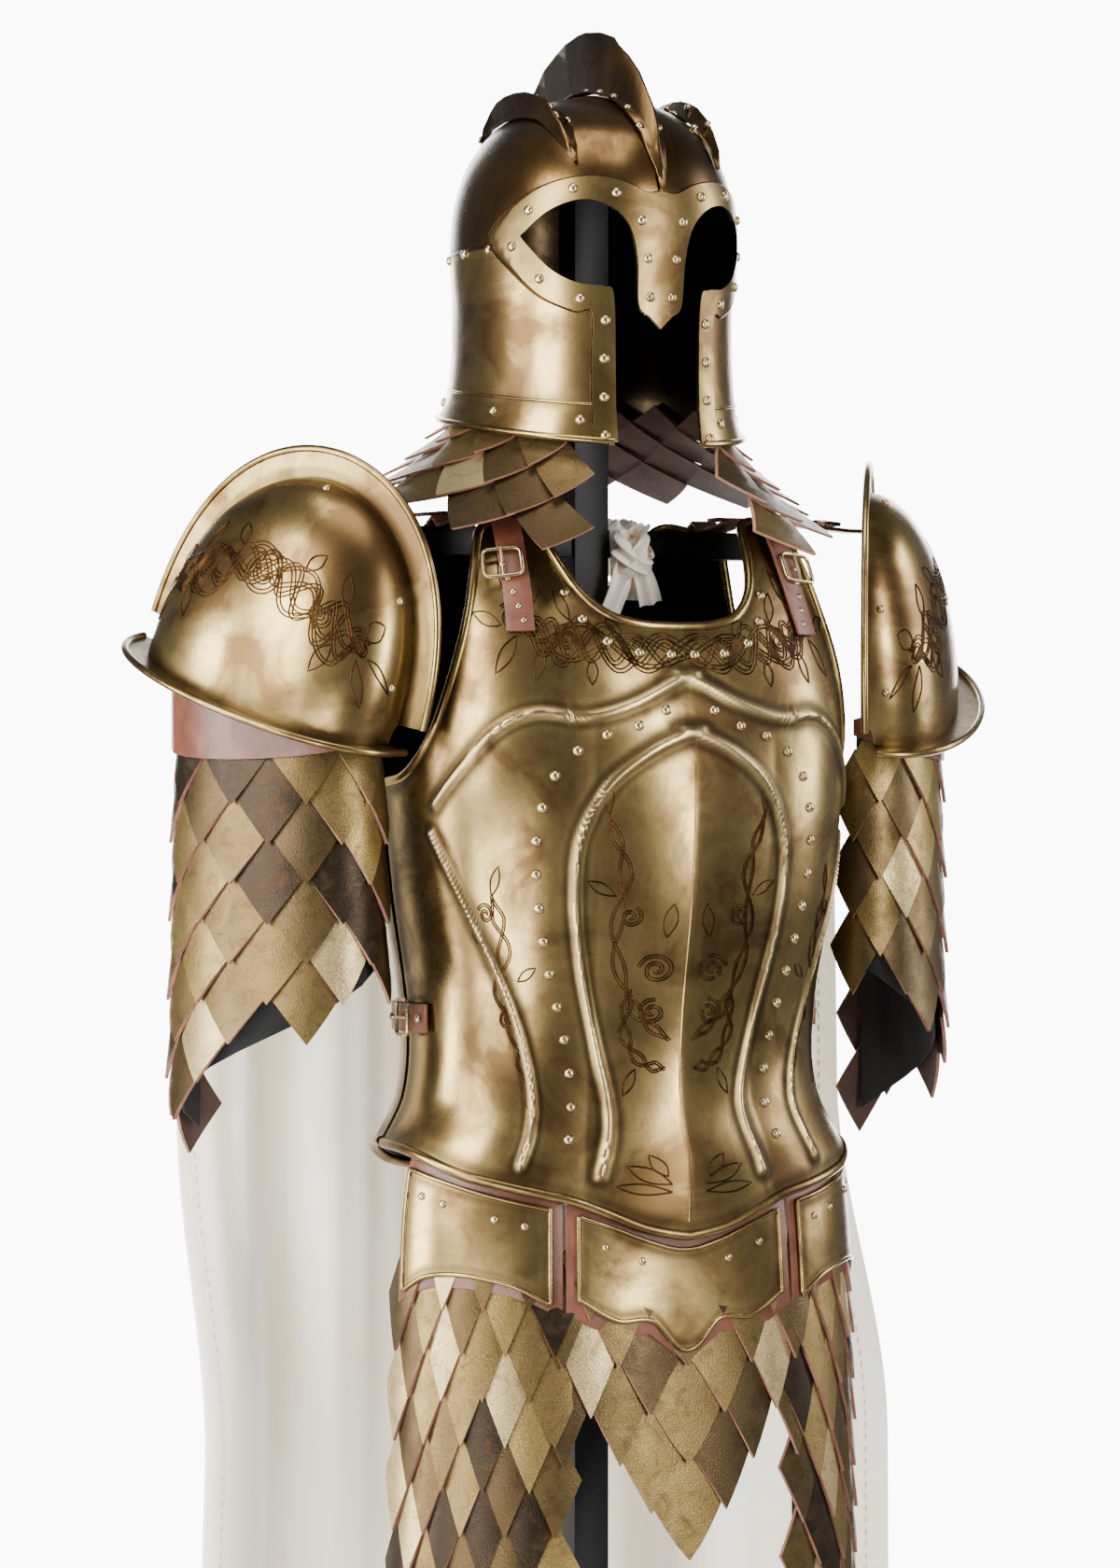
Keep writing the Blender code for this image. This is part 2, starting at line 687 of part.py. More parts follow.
def ribbon(name, stations, half, thick):
    """A flat strap over stations of (underside point, outward, across)."""
    points = []
    for point, out, across in stations:
        for x, y in ((-half, 0), (half, 0), (half, thick), (-half, thick)):
            points.append(point + across * x + out * y)
    faces = grid_faces(len(stations), 4, True)
    faces.append((0, 1, 2, 3))
    faces.append(tuple(reversed(range(len(points) - 4, len(points)))))
    return add_mesh(name, points, faces)


def strap_station(angle, share, lift, turn):
    """Where a strap lies on the cuirass: underside point, outward and across, which turn may reverse."""
    out = (on_torso(angle, share, 0.01) - on_torso(angle, share, 0)).normalized()
    across = (on_torso(angle + 0.02, share, 0) - on_torso(angle - 0.02, share, 0)).normalized() * turn
    return on_torso(angle, share, lift), out, across


def strap_over_shoulder(side, name):
    """Leather from the breastplate over the shoulder bar to the backplate."""
    across = Vector((1, 0, 0))
    stations = []
    angle_front = side * STRAP_ANGLE
    for share, lift in ((0.84, GAP * 3), (0.90, GAP * 4), (0.955, RIM_R), (0.995, RIM_R * 1.3)):
        stations.append(strap_station(angle_front, share, lift, 1))
    top = SHOULDER_BAR_Z + SHOULDER_BAR_SIDE + GAP
    x = stations[-1][0].x
    for y, rise in ((-0.055, 0.006), (-0.006, 0.0), (0.006, 0.0), (0.016, 0.0070)):
        stations.append((Vector((x, y, top + rise)), Vector((0, 0, 1)), across))
    angle_back = side * (math.pi - STRAP_ANGLE)
    for share, lift in ((0.995, RIM_R * 1.3), (0.955, RIM_R), (0.88, GAP * 4)):
        stations.append(strap_station(angle_back, share, lift, -1))
    return paint(ribbon(name, stations, STRAP_WIDTH / 2, LEATHER), "brown_leather")


def strap_at_side(side, name, front_tree, back_tree):
    """The leather that joins breastplate and backplate below the arm."""
    stations = []
    for degrees in spread(80, 112, 9):
        angle = side * math.radians(degrees)
        out = (on_torso(angle, SIDE_STRAP_SHARE, 0.01) - on_torso(angle, SIDE_STRAP_SHARE, 0)).normalized()
        stations.append((on_torso(angle, SIDE_STRAP_SHARE, SIDE_STRAP_LIFT), out, Vector((0, 0, 1))))
    strap = ribbon(name, stations, STRAP_WIDTH / 2, LEATHER)
    for station, tree in ((stations[1], front_tree), (stations[-2], back_tree)):
        start = station[0] + station[1] * LEATHER / 2
        strap = studs(strap, [(start, start - station[1])], tree)
    return paint(strap, "brown_leather")


# Pieces of the shoulder and arm

def shoulder_frame(side, tilt=PAULDRON_TILT):
    """The pauldron's own axes: to the front tip, up and away from the body."""
    turn = Matrix.Rotation(-side * PAULDRON_TURN, 3, "Z")
    ahead = turn @ Vector((0, -1, 0))
    away = turn @ Vector((side, 0, 0))
    up = Vector((0, 0, 1))
    tipped = ahead * math.cos(tilt) - up * math.sin(tilt)
    return tipped, up * math.cos(tilt) + ahead * math.sin(tilt), away


def shoulder_centre(side):
    return Vector((side * PAULDRON_OUT, PAULDRON_BACK, PAULDRON_Z))


def pauldron_point(side, along, around, height, rim=0.0):
    """The dome: along runs from the back tip, -1, to the front tip, 1; around is 0 in the flange's
    plane and 1 at the brim; rim carries the point out past the dome's edge in its plane."""
    ahead, up, away = shoulder_frame(side)
    angle = along * math.pi / 2 * 0.97
    ring = math.cos(angle) ** 0.8
    turn = around * DOME_SWEEP
    tip = math.sin(angle)
    radial = up * math.cos(turn) + away * math.sin(turn)
    point = (shoulder_centre(side) + ahead * (DOME_LENGTH * tip)
             + up * (DOME_HEIGHT * ring * math.cos(turn)) + away * (DOME_DEPTH * ring * math.sin(turn)))
    normal = (ahead * (tip / DOME_LENGTH) + up * (ring * math.cos(turn) / DOME_HEIGHT)
              + away * (ring * math.sin(turn) / DOME_DEPTH)).normalized()
    spread_way = (ahead * tip + radial * max(ring, 0.15)).normalized()
    return point + normal * height + spread_way * rim


def make_pauldron(side, name):
    """Dome, upright flange and turned-out brim, lofted across from the flange to the brim."""
    along = spread(-1, 1, 13)
    arounds = [0.0, 0.18, 0.42, 0.68, 1.0]
    _, up, away = shoulder_frame(side)
    brim_up = (up * math.sin(DOME_SWEEP) - away * math.cos(DOME_SWEEP)).normalized()
    outer, inner = [], []
    for around, reach, face in ((0, FLANGE, away), (1, BRIM, brim_up)):
        edge = [pauldron_point(side, a, around, 0, reach) for a in along]
        root = [pauldron_point(side, a, around, 0) for a in along]
        inward = [(r - e).normalized() for r, e in zip(root, edge)]
        rows = rolled_rows(edge, inward, [face] * len(along), RIM_R * 0.8, PLATE, PLATE / 2)
        outer.append(rows[0])
        inner.append(rows[1])
    outer = outer[0] + [[pauldron_point(side, a, r, PLATE / 2) for a in along] for r in arounds] + outer[1][::-1]
    inner = inner[0] + [[pauldron_point(side, a, r, -PLATE / 2) for a in along] for r in arounds] + inner[1][::-1]
    return paint(thick_grid(name, outer, inner), "antique_brass")


def arm_point(side, around, z, height):
    """Upright leather round the outside of the arm; around is -1 at the back and 1 at the front."""
    ahead, _, away = shoulder_frame(side, 0.0)
    angle = around * ARM_HALF_ANGLE
    length = ARM_LENGTH_RADIUS + height
    depth = ARM_DEPTH_RADIUS + height
    centre = shoulder_centre(side)
    return (Vector((centre.x, centre.y, z)) + ahead * (length * math.sin(angle))
            + away * (depth * math.cos(angle)))


def make_arm_cap(side, name, carrier):
    """Smooth leather between the dome and the top of the sleeve."""
    columns = spread(-1, 1, 13)
    rows = []
    for level in spread(0, 1, 3):
        row = []
        for a in columns:
            top = PAULDRON_Z + 0.014 - 0.034 * a
            low = SLEEVE_TOP_Z - 0.016 - 0.020 * (1 - a * a)
            row.append((a, low + (top - low) * level))
        rows.append(row)
    above = LEATHER * 2 + 0.0035
    outer = [[arm_point(side, a, z, above) for a, z in row] for row in rows]
    inner = [[arm_point(side, a, z, above - LEATHER) for a, z in row] for row in rows]
    cap = thick_grid(name, outer, inner)
    places = []
    for a in (-0.45, 0.0, 0.45):
        top = PAULDRON_Z + 0.008 - 0.034 * a
        places.append((arm_point(side, a, top, above - LEATHER / 2), arm_point(side, a, top + 0.02, above + 0.02)))
    return paint(studs(cap, places, carrier), "brown_leather")


SLEEVE_COLUMNS = 10
SLEEVE_ROWS = 11


def make_sleeve(side, name, carrier):
    columns, rows = SLEEVE_COLUMNS, SLEEVE_ROWS

    def surface(a, b, height):
        flare = 0.006 * b
        return arm_point(side, 2 * a - 1, SLEEVE_TOP_Z - SLEEVE_LENGTH * b, height + flare)

    def keep(c, r):
        return r <= rows - 1 - 0.42 * c

    scales = scale_field(name, surface, keep, columns, rows, LEATHER, LEATHER * 0.6)
    places = [(surface(a, 0.07, -LEATHER * 0.3), surface(a, 0.07, 0.02)) for a in (0.3, 0.5, 0.7)]
    return paint(studs(scales, places, carrier), "scale_leather")


def make_sleeve_backing(side, name):
    """The black cloth behind the scales, cut straight."""
    columns = spread(-1, 1, SLEEVE_COLUMNS + 1)
    outer, inner = [], []
    for level in (0.0, 1.0):
        rows = []
        for depth in (0.0, BACKING):
            row = []
            for a in columns:
                low = SLEEVE_TOP_Z - SLEEVE_LENGTH * (0.95 - 0.19 * (a + 1))
                z = SLEEVE_TOP_Z - 0.004 + (low - SLEEVE_TOP_Z) * level
                share = (SLEEVE_TOP_Z - z) / SLEEVE_LENGTH
                row.append(arm_point(side, a, z, 0.006 * share - LEATHER * 0.6 - BACKING_GAP - depth))
            rows.append(row)
        outer.append(rows[0])
        inner.append(rows[1])
    return paint(thick_grid(name, outer, inner), "black_cloth")


# Pieces below the waist

# share of the half angle, top share, bottom share of the front plate; then of a side plate, whose first
# column runs from -1 at its front edge to 1 at its rear edge
TASSET_FRONT = ((-1.0, 0.030, -0.085), (-0.6, 0.010, -0.115), (-0.25, -0.010, -0.118), (0.0, -0.020, -0.160),
                (0.25, -0.010, -0.118), (0.6, 0.010, -0.115), (1.0, 0.030, -0.085))
TASSET_SIDE = ((-1.0, 0.040, -0.092), (-0.6, 0.050, -0.066), (0.0, 0.066, -0.052), (0.6, 0.082, -0.056),
               (1.0, 0.092, -0.078))


def panel_on_torso(name, table, middle, half_angle, rows, outside, wall, grow=0.0, rise=0.0):
    """A panel between the table's edges; grow widens it all round, and rise lifts its top edge."""
    columns = []
    for s in spread(-1, 1, 9):
        top, low = smooth(table, s)
        columns.append((middle + s * (half_angle + grow / CHEST_HALF_WIDTH), top + rise, low - grow / TORSO_SPAN))
    outer = [[on_torso(a, low + (top - low) * v, outside) for a, top, low in columns] for v in spread(0, 1, rows)]
    inner = [[on_torso(a, low + (top - low) * v, outside - wall) for a, top, low in columns]
             for v in spread(0, 1, rows)]
    return thick_grid(name, outer, inner), outer, inner


def make_tasset(name, table, middle, half_angle, carrier):
    """A brass plate with a beaded edge, and the leather that carries it."""
    brass, outer, inner = panel_on_torso(name, table, middle, half_angle, 4, TASSET_H, PLATE)
    line = [p for p in outer[0]] + [row[-1] for row in outer[1:]] + outer[-1][-2::-1]
    line += [row[0] for row in outer[-2:0:-1]]
    brass = combine(brass, rod(name + "_bead", line, RIB_R * 0.55, True, 0), "UNION", "MANIFOLD")
    leather, outer, inner = panel_on_torso(name + "_leather", table, middle, half_angle, 5,
                                           TASSET_H - PLATE - LAYER_GAP, LEATHER, 0.010, 0.060)
    places = []
    for i in (2, 6):
        start = (outer[-1][i] + inner[-1][i]) / 2
        start = start.lerp((outer[-2][i] + inner[-2][i]) / 2, 0.25)
        places.append((start, start + (start - Vector((0, CHEST_CENTRE_Y, start.z))) * 0.2))
    leather = studs(leather, places, carrier)
    return paint(brass, "antique_brass"), paint(leather, "brown_leather")


def make_skirt(name, middle, half_angle, length, columns, rows, keep):
    """A scale panel and its black backing, which hang behind the tassets."""
    base = TASSET_H - PLATE - LEATHER * 2 - LAYER_GAP * 2

    def surface(a, b, height):
        share = (SKIRT_TOP_Z - CUIRASS_POINT_Z - length * b) / TORSO_SPAN
        return on_torso(middle + (2 * a - 1) * half_angle, share, base + height)

    scales = scale_field(name, surface, keep, columns, rows, LEATHER, LEATHER * 0.6)
    low = {}
    for c in range(1, columns):
        kept = [r for r in range(1, rows) if (c + r) % 2 == 0 and keep(c, r)]
        low[c] = max(kept) + 0.35
    low[0], low[columns] = low[1], low[columns - 1]
    outer, inner = [], []
    for v in spread(0, 1, 6):
        for layer, depth in ((outer, 0.0), (inner, BACKING)):
            layer.append([surface(c / columns, (1.6 + (low[c] - 1.6) * v) / rows,
                                  -LEATHER * 0.6 - BACKING_GAP - depth) for c in range(columns + 1)])
    backing = thick_grid(name + "_backing", outer, inner)
    return paint(scales, "scale_leather"), paint(backing, "black_cloth")


# Cloak, its tie and the stand

# share of the cloak's half span, how far behind the middle plane as a share of the chest's depth
CLOAK_PLAN = ((0.0, 0.98), (0.5, 1.0), (0.8, 1.02), (1.0, 0.96))


def cloak_point(a, b, height):
    """A cotton sheet behind the back: a from -1 to 1 across, b from 0 at the top to 1 at the hem."""
    span = CLOAK_SPAN * (1 + 0.34 * b ** 0.7)
    behind = smooth(CLOAK_PLAN, abs(a))[0] * CLOAK_TOP_Y
    fold = CLOAK_FOLD * (0.35 + 0.65 * b)
    wave = math.sin(a * math.pi * CLOAK_FOLDS + 0.6 * math.sin(3.1 * a + 1.7))
    shift = fold * (wave + 0.35 * math.sin(a * math.pi * CLOAK_FOLDS * 0.47 + 1.1 + 0.8 * b))
    sag = 0.020 * (1 - math.cos(a * math.pi)) * (1 - b)
    z = CLOAK_TOP_Z - (CLOAK_TOP_Z - CLOAK_HEM_Z) * b - sag
    return Vector((span * a, behind + shift + 0.02 * b + height, z))


def make_cloak():
    columns = spread(-1, 1, 33)
    rows = spread(0, 1, 6)
    outer = [[cloak_point(a, b, CLOAK_WALL) for a in columns] for b in rows]
    inner = [[cloak_point(a, b, 0) for a in columns] for b in rows]
    return paint(thick_grid("cloak", outer, inner), "cream_cotton")


def make_stand(helm_tree):
    """Square steel tube: base plate, post, shoulder bar, waist bar and the pad inside the helm."""
    half = HEAD_PAD / 2
    corners = [Vector((x, y, HELM_BOTTOM_Z)) for x in (-half, 0, half) for y in (-half, 0, half)]
    crown = min(helm_tree.ray_cast(corner, Vector((0, 0, 1)))[0].z for corner in corners) - GAP
    post_top = crown - HEAD_PAD_THICK / 2
    obj = bar("stand", (0, 0, BASE_THICK / 2), (BASE_WIDTH, BASE_DEPTH, BASE_THICK))
    post = bar("post", (0, 0, post_top / 2 + 0.002), (POST_SIDE, POST_SIDE, post_top - 0.004))
    obj = combine(obj, post, "UNION")
    z = SHOULDER_BAR_Z + SHOULDER_BAR_SIDE / 2
    obj = combine(obj, bar("shoulder_bar", (0, 0, z), (SHOULDER_BAR_LENGTH, SHOULDER_BAR_SIDE, SHOULDER_BAR_SIDE)),
                  "UNION")
    obj = combine(obj, bar("waist_bar", (0, 0, WAIST_BAR_Z), (WAIST_BAR_LENGTH, POST_SIDE * 0.7, POST_SIDE * 0.7)),
                  "UNION")
    pad_z = crown - HEAD_PAD_THICK / 2
    obj = combine(obj, bar("head_pad", (0, 0, pad_z), (HEAD_PAD, HEAD_PAD, HEAD_PAD_THICK)), "UNION")
    return paint(obj, "black_steel")


def paint(obj, finish):
    obj.data.materials.clear()
    obj.data.materials.append(finish_material(obj.name, *FINISHES[finish]))
    return obj


def make_pauldron_strap(side, name, dome_tree):
    """Leather from the shoulder strap, through the open side of the pauldron, to the top of its dome."""
    half = STRAP_WIDTH * 0.40
    y = -0.030
    slope = (abs(y) + half - 0.006) / 0.049
    low = SHOULDER_BAR_Z + SHOULDER_BAR_SIDE + 2 * GAP + LEATHER + 0.006 * slope
    across = Vector((0, 1, 0))
    reach = PAULDRON_OUT + 0.020
    above = [dome_tree.ray_cast(Vector((side * x, y + aside, PAULDRON_Z + 0.08)), Vector((0, 0, 1)))[0]
             for x in spread(reach - 0.06, reach, 9) for aside in (-half, 0, half)]
    high = min(point.z for point in above if point) - LEATHER - GAP
    stations = [(Vector((side * x, y, z)), Vector((0, 0, 1)), across)
                for x, z in ((0.100, low), (0.140, low), (reach - 0.060, high), (reach, high))]
    return paint(ribbon(name, stations, half, LEATHER), "brown_leather")


def make_cloak_tie():
    """The cloak's cotton strip, knotted in front of the shoulder bar and laid over it to the back."""
    side = SHOULDER_BAR_SIDE / 2
    top = SHOULDER_BAR_Z + SHOULDER_BAR_SIDE
    wall = CLOAK_WALL
    across = Vector((1, 0, 0))
    shares = spread(TIE_END - 0.06, TIE_END + 0.06, 6)
    seat = min(cloak_point(a, b, 0).y for a in shares for b in (0, 0.01, 0.02)) - wall - 2 * GAP
    low = cloak_point(TIE_END, 0.02, 0).z
    places = (
        ((0.030, -side - 0.0006, SHOULDER_BAR_Z - 0.035), (0, -1, 0)),
        ((0.030, -side - 0.0006, top - 0.006), (0, -1, 0)),
        ((0.032, -side - 0.0010, top + 0.0010), (0, -0.7, 0.7)),
        ((0.040, side, top + 0.0016), (0, 0, 1)),
        ((0.062, 0.060, top + 0.010), (0, 0, 1)),
        ((0.075, seat - 0.012, top - 0.002), (0, 0.5, 0.85)),
        ((CLOAK_SPAN * TIE_END, seat, (top + low) / 2 - 0.008), (0, 1, 0.15)),
        ((CLOAK_SPAN * TIE_END, seat, low), (0, 1, 0)),
    )
    stations = [(Vector(p), Vector(n).normalized(), across) for p, n in places]
    strip = ribbon("cloak_tie", stations, 0.014, wall)
    bpy.ops.mesh.primitive_ico_sphere_add(subdivisions=2, radius=0.016,
                                          location=(0.030, -side - 0.0190, SHOULDER_BAR_Z + 0.004))
    knot = bpy.context.active_object
    knot.scale = (1.25, 1.0, 0.9)
    bpy.ops.object.transform_apply(location=True, rotation=False, scale=True)
    for holder in list(knot.users_collection):
        holder.objects.unlink(knot)
    PARTS.objects.link(knot)
    return paint(combine(strip, knot, "UNION"), "cream_cotton")


def build():
    helm_shell = make_helm()
    helm_tree = tree_of(helm_shell)
    make_helm_band()
    make_ridges(helm_tree)
    make_aventail(helm_tree)
    breast = make_breastplate()
    breast_tree = tree_of(breast)
    back_tree = tree_of(make_backplate())
    sides = ((-1, "right"), (1, "left"))
    _, front_leather = make_tasset("tasset_front", TASSET_FRONT, 0.0, FRONT_TASSET_HALF, breast_tree)
    leathers = {"front": tree_of(front_leather)}
    for side, word in sides:
        table = [(s, top, low) for s, top, low in TASSET_SIDE]
        if side < 0:
            table = [(-s, top, low) for s, top, low in reversed(TASSET_SIDE)]
        _, leather = make_tasset("tasset_" + word, table, side * SIDE_TASSET_ANGLE, SIDE_TASSET_HALF, breast_tree)
        leathers[word] = tree_of(leather)
    tail_columns, tail_rows = 8, 8
    middle = tail_columns // 2
    front, _ = make_skirt("skirt_front", 0.0, FRONT_SKIRT_HALF, SKIRT_TAIL, tail_columns, tail_rows,
                          lambda c, r: r <= tail_rows - 1 - 0.75 * abs(c - middle))
    hang_skirt(front, 0.0, FRONT_SKIRT_HALF, leathers["front"])
    for side, word in sides:
        skirt, _ = make_skirt("skirt_" + word, side * SIDE_SKIRT_ANGLE, SIDE_SKIRT_HALF, SKIRT_SIDE, 8, 15,
                              lambda c, r: True)
        hang_skirt(skirt, side * SIDE_SKIRT_ANGLE, SIDE_SKIRT_HALF, leathers[word])
        strap_over_shoulder(side, "shoulder_strap_" + word)
        strap_at_side(side, "side_strap_" + word, breast_tree, back_tree)
        dome_tree = tree_of(make_pauldron(side, "pauldron_" + word))
        make_pauldron_strap(side, "pauldron_strap_" + word, dome_tree)
        cap = make_arm_cap(side, "arm_cap_" + word, dome_tree)
        make_sleeve(side, "sleeve_" + word, tree_of(cap))
        make_sleeve_backing(side, "sleeve_backing_" + word)
    make_cloak()
    make_cloak_tie()
    make_stand(helm_tree)


def hang_skirt(obj, middle, half_angle, carrier):
    """Rivets from a scale panel's top to the tasset leather in front of it."""
    depth = TASSET_H - PLATE - LEATHER * 2 - LAYER_GAP * 2 - LEATHER * 0.3
    share = (SKIRT_TOP_Z - 0.045 - CUIRASS_POINT_Z) / TORSO_SPAN
    places = [(on_torso(middle + s * half_angle, share, depth), on_torso(middle + s * half_angle, share, 0.02))
              for s in (-0.45, 0.45)]
    finish = obj.data.materials[0]
    obj = studs(obj, places, carrier)
    obj.data.materials.clear()
    obj.data.materials.append(finish)
    return obj


clear_scene()
PARTS = collection("suit_of_armour")
build()
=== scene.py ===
"""Looks of a suit of armour on a display stand, laid out as a Blender add-on and run as a script."""
import math
import random

import bpy
import numpy as np
from bpy.props import FloatProperty, FloatVectorProperty, IntProperty, PointerProperty
from mathutils import Matrix, Vector
from mathutils.bvhtree import BVHTree


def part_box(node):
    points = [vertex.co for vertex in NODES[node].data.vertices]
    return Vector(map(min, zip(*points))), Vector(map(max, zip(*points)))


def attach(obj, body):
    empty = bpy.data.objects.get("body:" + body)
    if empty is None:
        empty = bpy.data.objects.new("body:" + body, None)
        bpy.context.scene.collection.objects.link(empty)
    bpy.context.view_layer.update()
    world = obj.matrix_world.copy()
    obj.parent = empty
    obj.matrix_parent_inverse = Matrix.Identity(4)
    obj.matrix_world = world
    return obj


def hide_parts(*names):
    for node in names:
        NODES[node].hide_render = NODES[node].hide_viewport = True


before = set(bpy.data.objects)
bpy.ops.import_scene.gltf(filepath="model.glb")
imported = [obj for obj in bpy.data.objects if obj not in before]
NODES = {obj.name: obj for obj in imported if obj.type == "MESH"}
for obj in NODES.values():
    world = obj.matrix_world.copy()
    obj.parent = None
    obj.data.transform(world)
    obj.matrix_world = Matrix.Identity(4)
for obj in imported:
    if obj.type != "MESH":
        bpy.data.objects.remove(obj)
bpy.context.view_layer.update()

bl_info = {
    "name": "Suit of armour looks",
    "version": (1, 0, 0),
    "blender": (4, 5, 0),
    "location": "3D View > Sidebar > Armour",
    "description": "Builds the visible pieces of a suit of armour around its CAD frame",
    "category": "Object",
}

# Sizes of the CAD solids, in metres; heights are counted from the helm's lower rim
PLATE = 0.0016
HELM_WALL = 0.0018
LEATHER = 0.003
CLOAK_WALL = 0.0011
RIM_R = 0.0042
HELM_BOTTOM_Z = 1.545
HELM_HEIGHT = 0.285
HELM_HALF_WIDTH = 0.108
HELM_HALF_DEPTH = 0.128
HELM_CENTRE_Y = -0.015
HELM_RIM_RISE = 0.040
CHEST_HALF_WIDTH = 0.188
CHEST_HALF_DEPTH = 0.142
CHEST_CENTRE_Y = -0.045
KEEL = 0.012
KEEL_SPREAD = 0.35
NECK_SPAN = 0.060
TORSO_SPAN = 0.553
CUIRASS_TOP_Z = HELM_BOTTOM_Z - NECK_SPAN
CUIRASS_POINT_Z = CUIRASS_TOP_Z - TORSO_SPAN
BREAST_HALF_ANGLE = math.radians(94)
BACK_HALF_ANGLE = math.radians(83)
PAULDRON_OUT = 0.262
PAULDRON_BACK = 0.002
PAULDRON_Z = CUIRASS_TOP_Z - 0.133
PAULDRON_TURN = math.radians(30)
PAULDRON_TILT = math.radians(20)
DOME_LENGTH = 0.118
DOME_HEIGHT = 0.170
DOME_DEPTH = 0.072
DOME_SWEEP = math.radians(93)
FLANGE = 0.024
BRIM = 0.020
ARM_HALF_ANGLE = math.radians(100)
ARM_LENGTH_RADIUS = 0.088
ARM_DEPTH_RADIUS = 0.052
SLEEVE_TOP_Z = PAULDRON_Z - 0.017
SLEEVE_LENGTH = 0.340
SKIRT_TOP_Z = CUIRASS_POINT_Z + 0.023
AVENTAIL_FRONT = math.radians(38)
AVENTAIL_LENGTH = 0.105
AVENTAIL_FLARE = 0.070
CLOAK_TOP_Z = CUIRASS_TOP_Z - 0.030
CLOAK_HEM_Z = 0.120
CLOAK_HALF_SPAN = 0.288
CLOAK_FOLD = 0.018
CLOAK_FOLDS = 5.0
CLOAK_TOP_Y = 0.121
TASSET_LIFT = -0.0041


# Settings shown in the sidebar

def linear(code):
    """An sRGB hex colour as linear values."""
    parts = [int(code[i:i + 2], 16) / 255 for i in (1, 3, 5)]
    return tuple(c / 12.92 if c <= 0.04045 else ((c + 0.055) / 1.055) ** 2.4 for c in parts) + (1.0,)


class ArmourSettings(bpy.types.PropertyGroup):
    """Sizes and colours that can be changed in the sidebar"""
    rivet_radius: FloatProperty(
        name="Rivet radius", description="Half the width of the breastplate's rivet heads",
        default=0.0042, min=0.001, max=0.01, unit="LENGTH")
    etch_width: FloatProperty(
        name="Etched line", description="Width of the lines etched in the brass",
        default=0.0014, min=0.0003, max=0.003, unit="LENGTH")
    scale_thickness: FloatProperty(
        name="Scale leather", description="Thickness of the leather scales",
        default=0.0030, min=0.001, max=0.004, unit="LENGTH")
    seed: IntProperty(
        name="Seed", description="Start of the random tones and twists of the scales", default=7, min=0)
    brass: FloatVectorProperty(
        name="Brass", description="Rubbed brass of the plates",
        subtype="COLOR", size=3, min=0.0, max=1.0, default=linear("#998252")[:3])
    cotton: FloatVectorProperty(
        name="Cotton", description="Lightest tone of the cloak's cotton",
        subtype="COLOR", size=3, min=0.0, max=1.0, default=linear("#fff2dd")[:3])


def settings():
    """The scene's settings of the armour."""
    return bpy.context.scene.armour


# Materials: each pattern's size is in millimetres

RGBA = {"data_type": "RGBA"}
SCALE_TONES = ((0.0, "#241c12"), (0.25, "#43361f"), (0.6, "#66542f"), (0.86, "#8d7745"), (1.0, "#b7a273"))
MATERIALS = {}


def per_metre(millimetres):
    """How often a pattern of this size comes in one metre, as textures count it."""
    return 1000.0 / millimetres


def set_inputs(tree, node, inputs):
    """Gives each input of a node its value, or the socket that feeds it."""
    for key, value in inputs.items():
        if isinstance(value, bpy.types.NodeSocket):
            tree.links.new(value, node.inputs[key])
        else:
            node.inputs[key].default_value = value


def add_node(tree, kind, options, inputs, output=0):
    """Adds a node with its options and inputs, and returns one of its outputs."""
    made = tree.nodes.new("ShaderNode" + kind)
    for key, value in options.items():
        setattr(made, key, value)
    set_inputs(tree, made, inputs)
    return made.outputs[output]


def new_material(name):
    """A material, its node tree and its shader."""
    material = bpy.data.materials.new(name)
    material.use_nodes = True
    return material, material.node_tree, material.node_tree.nodes["Principled BSDF"]


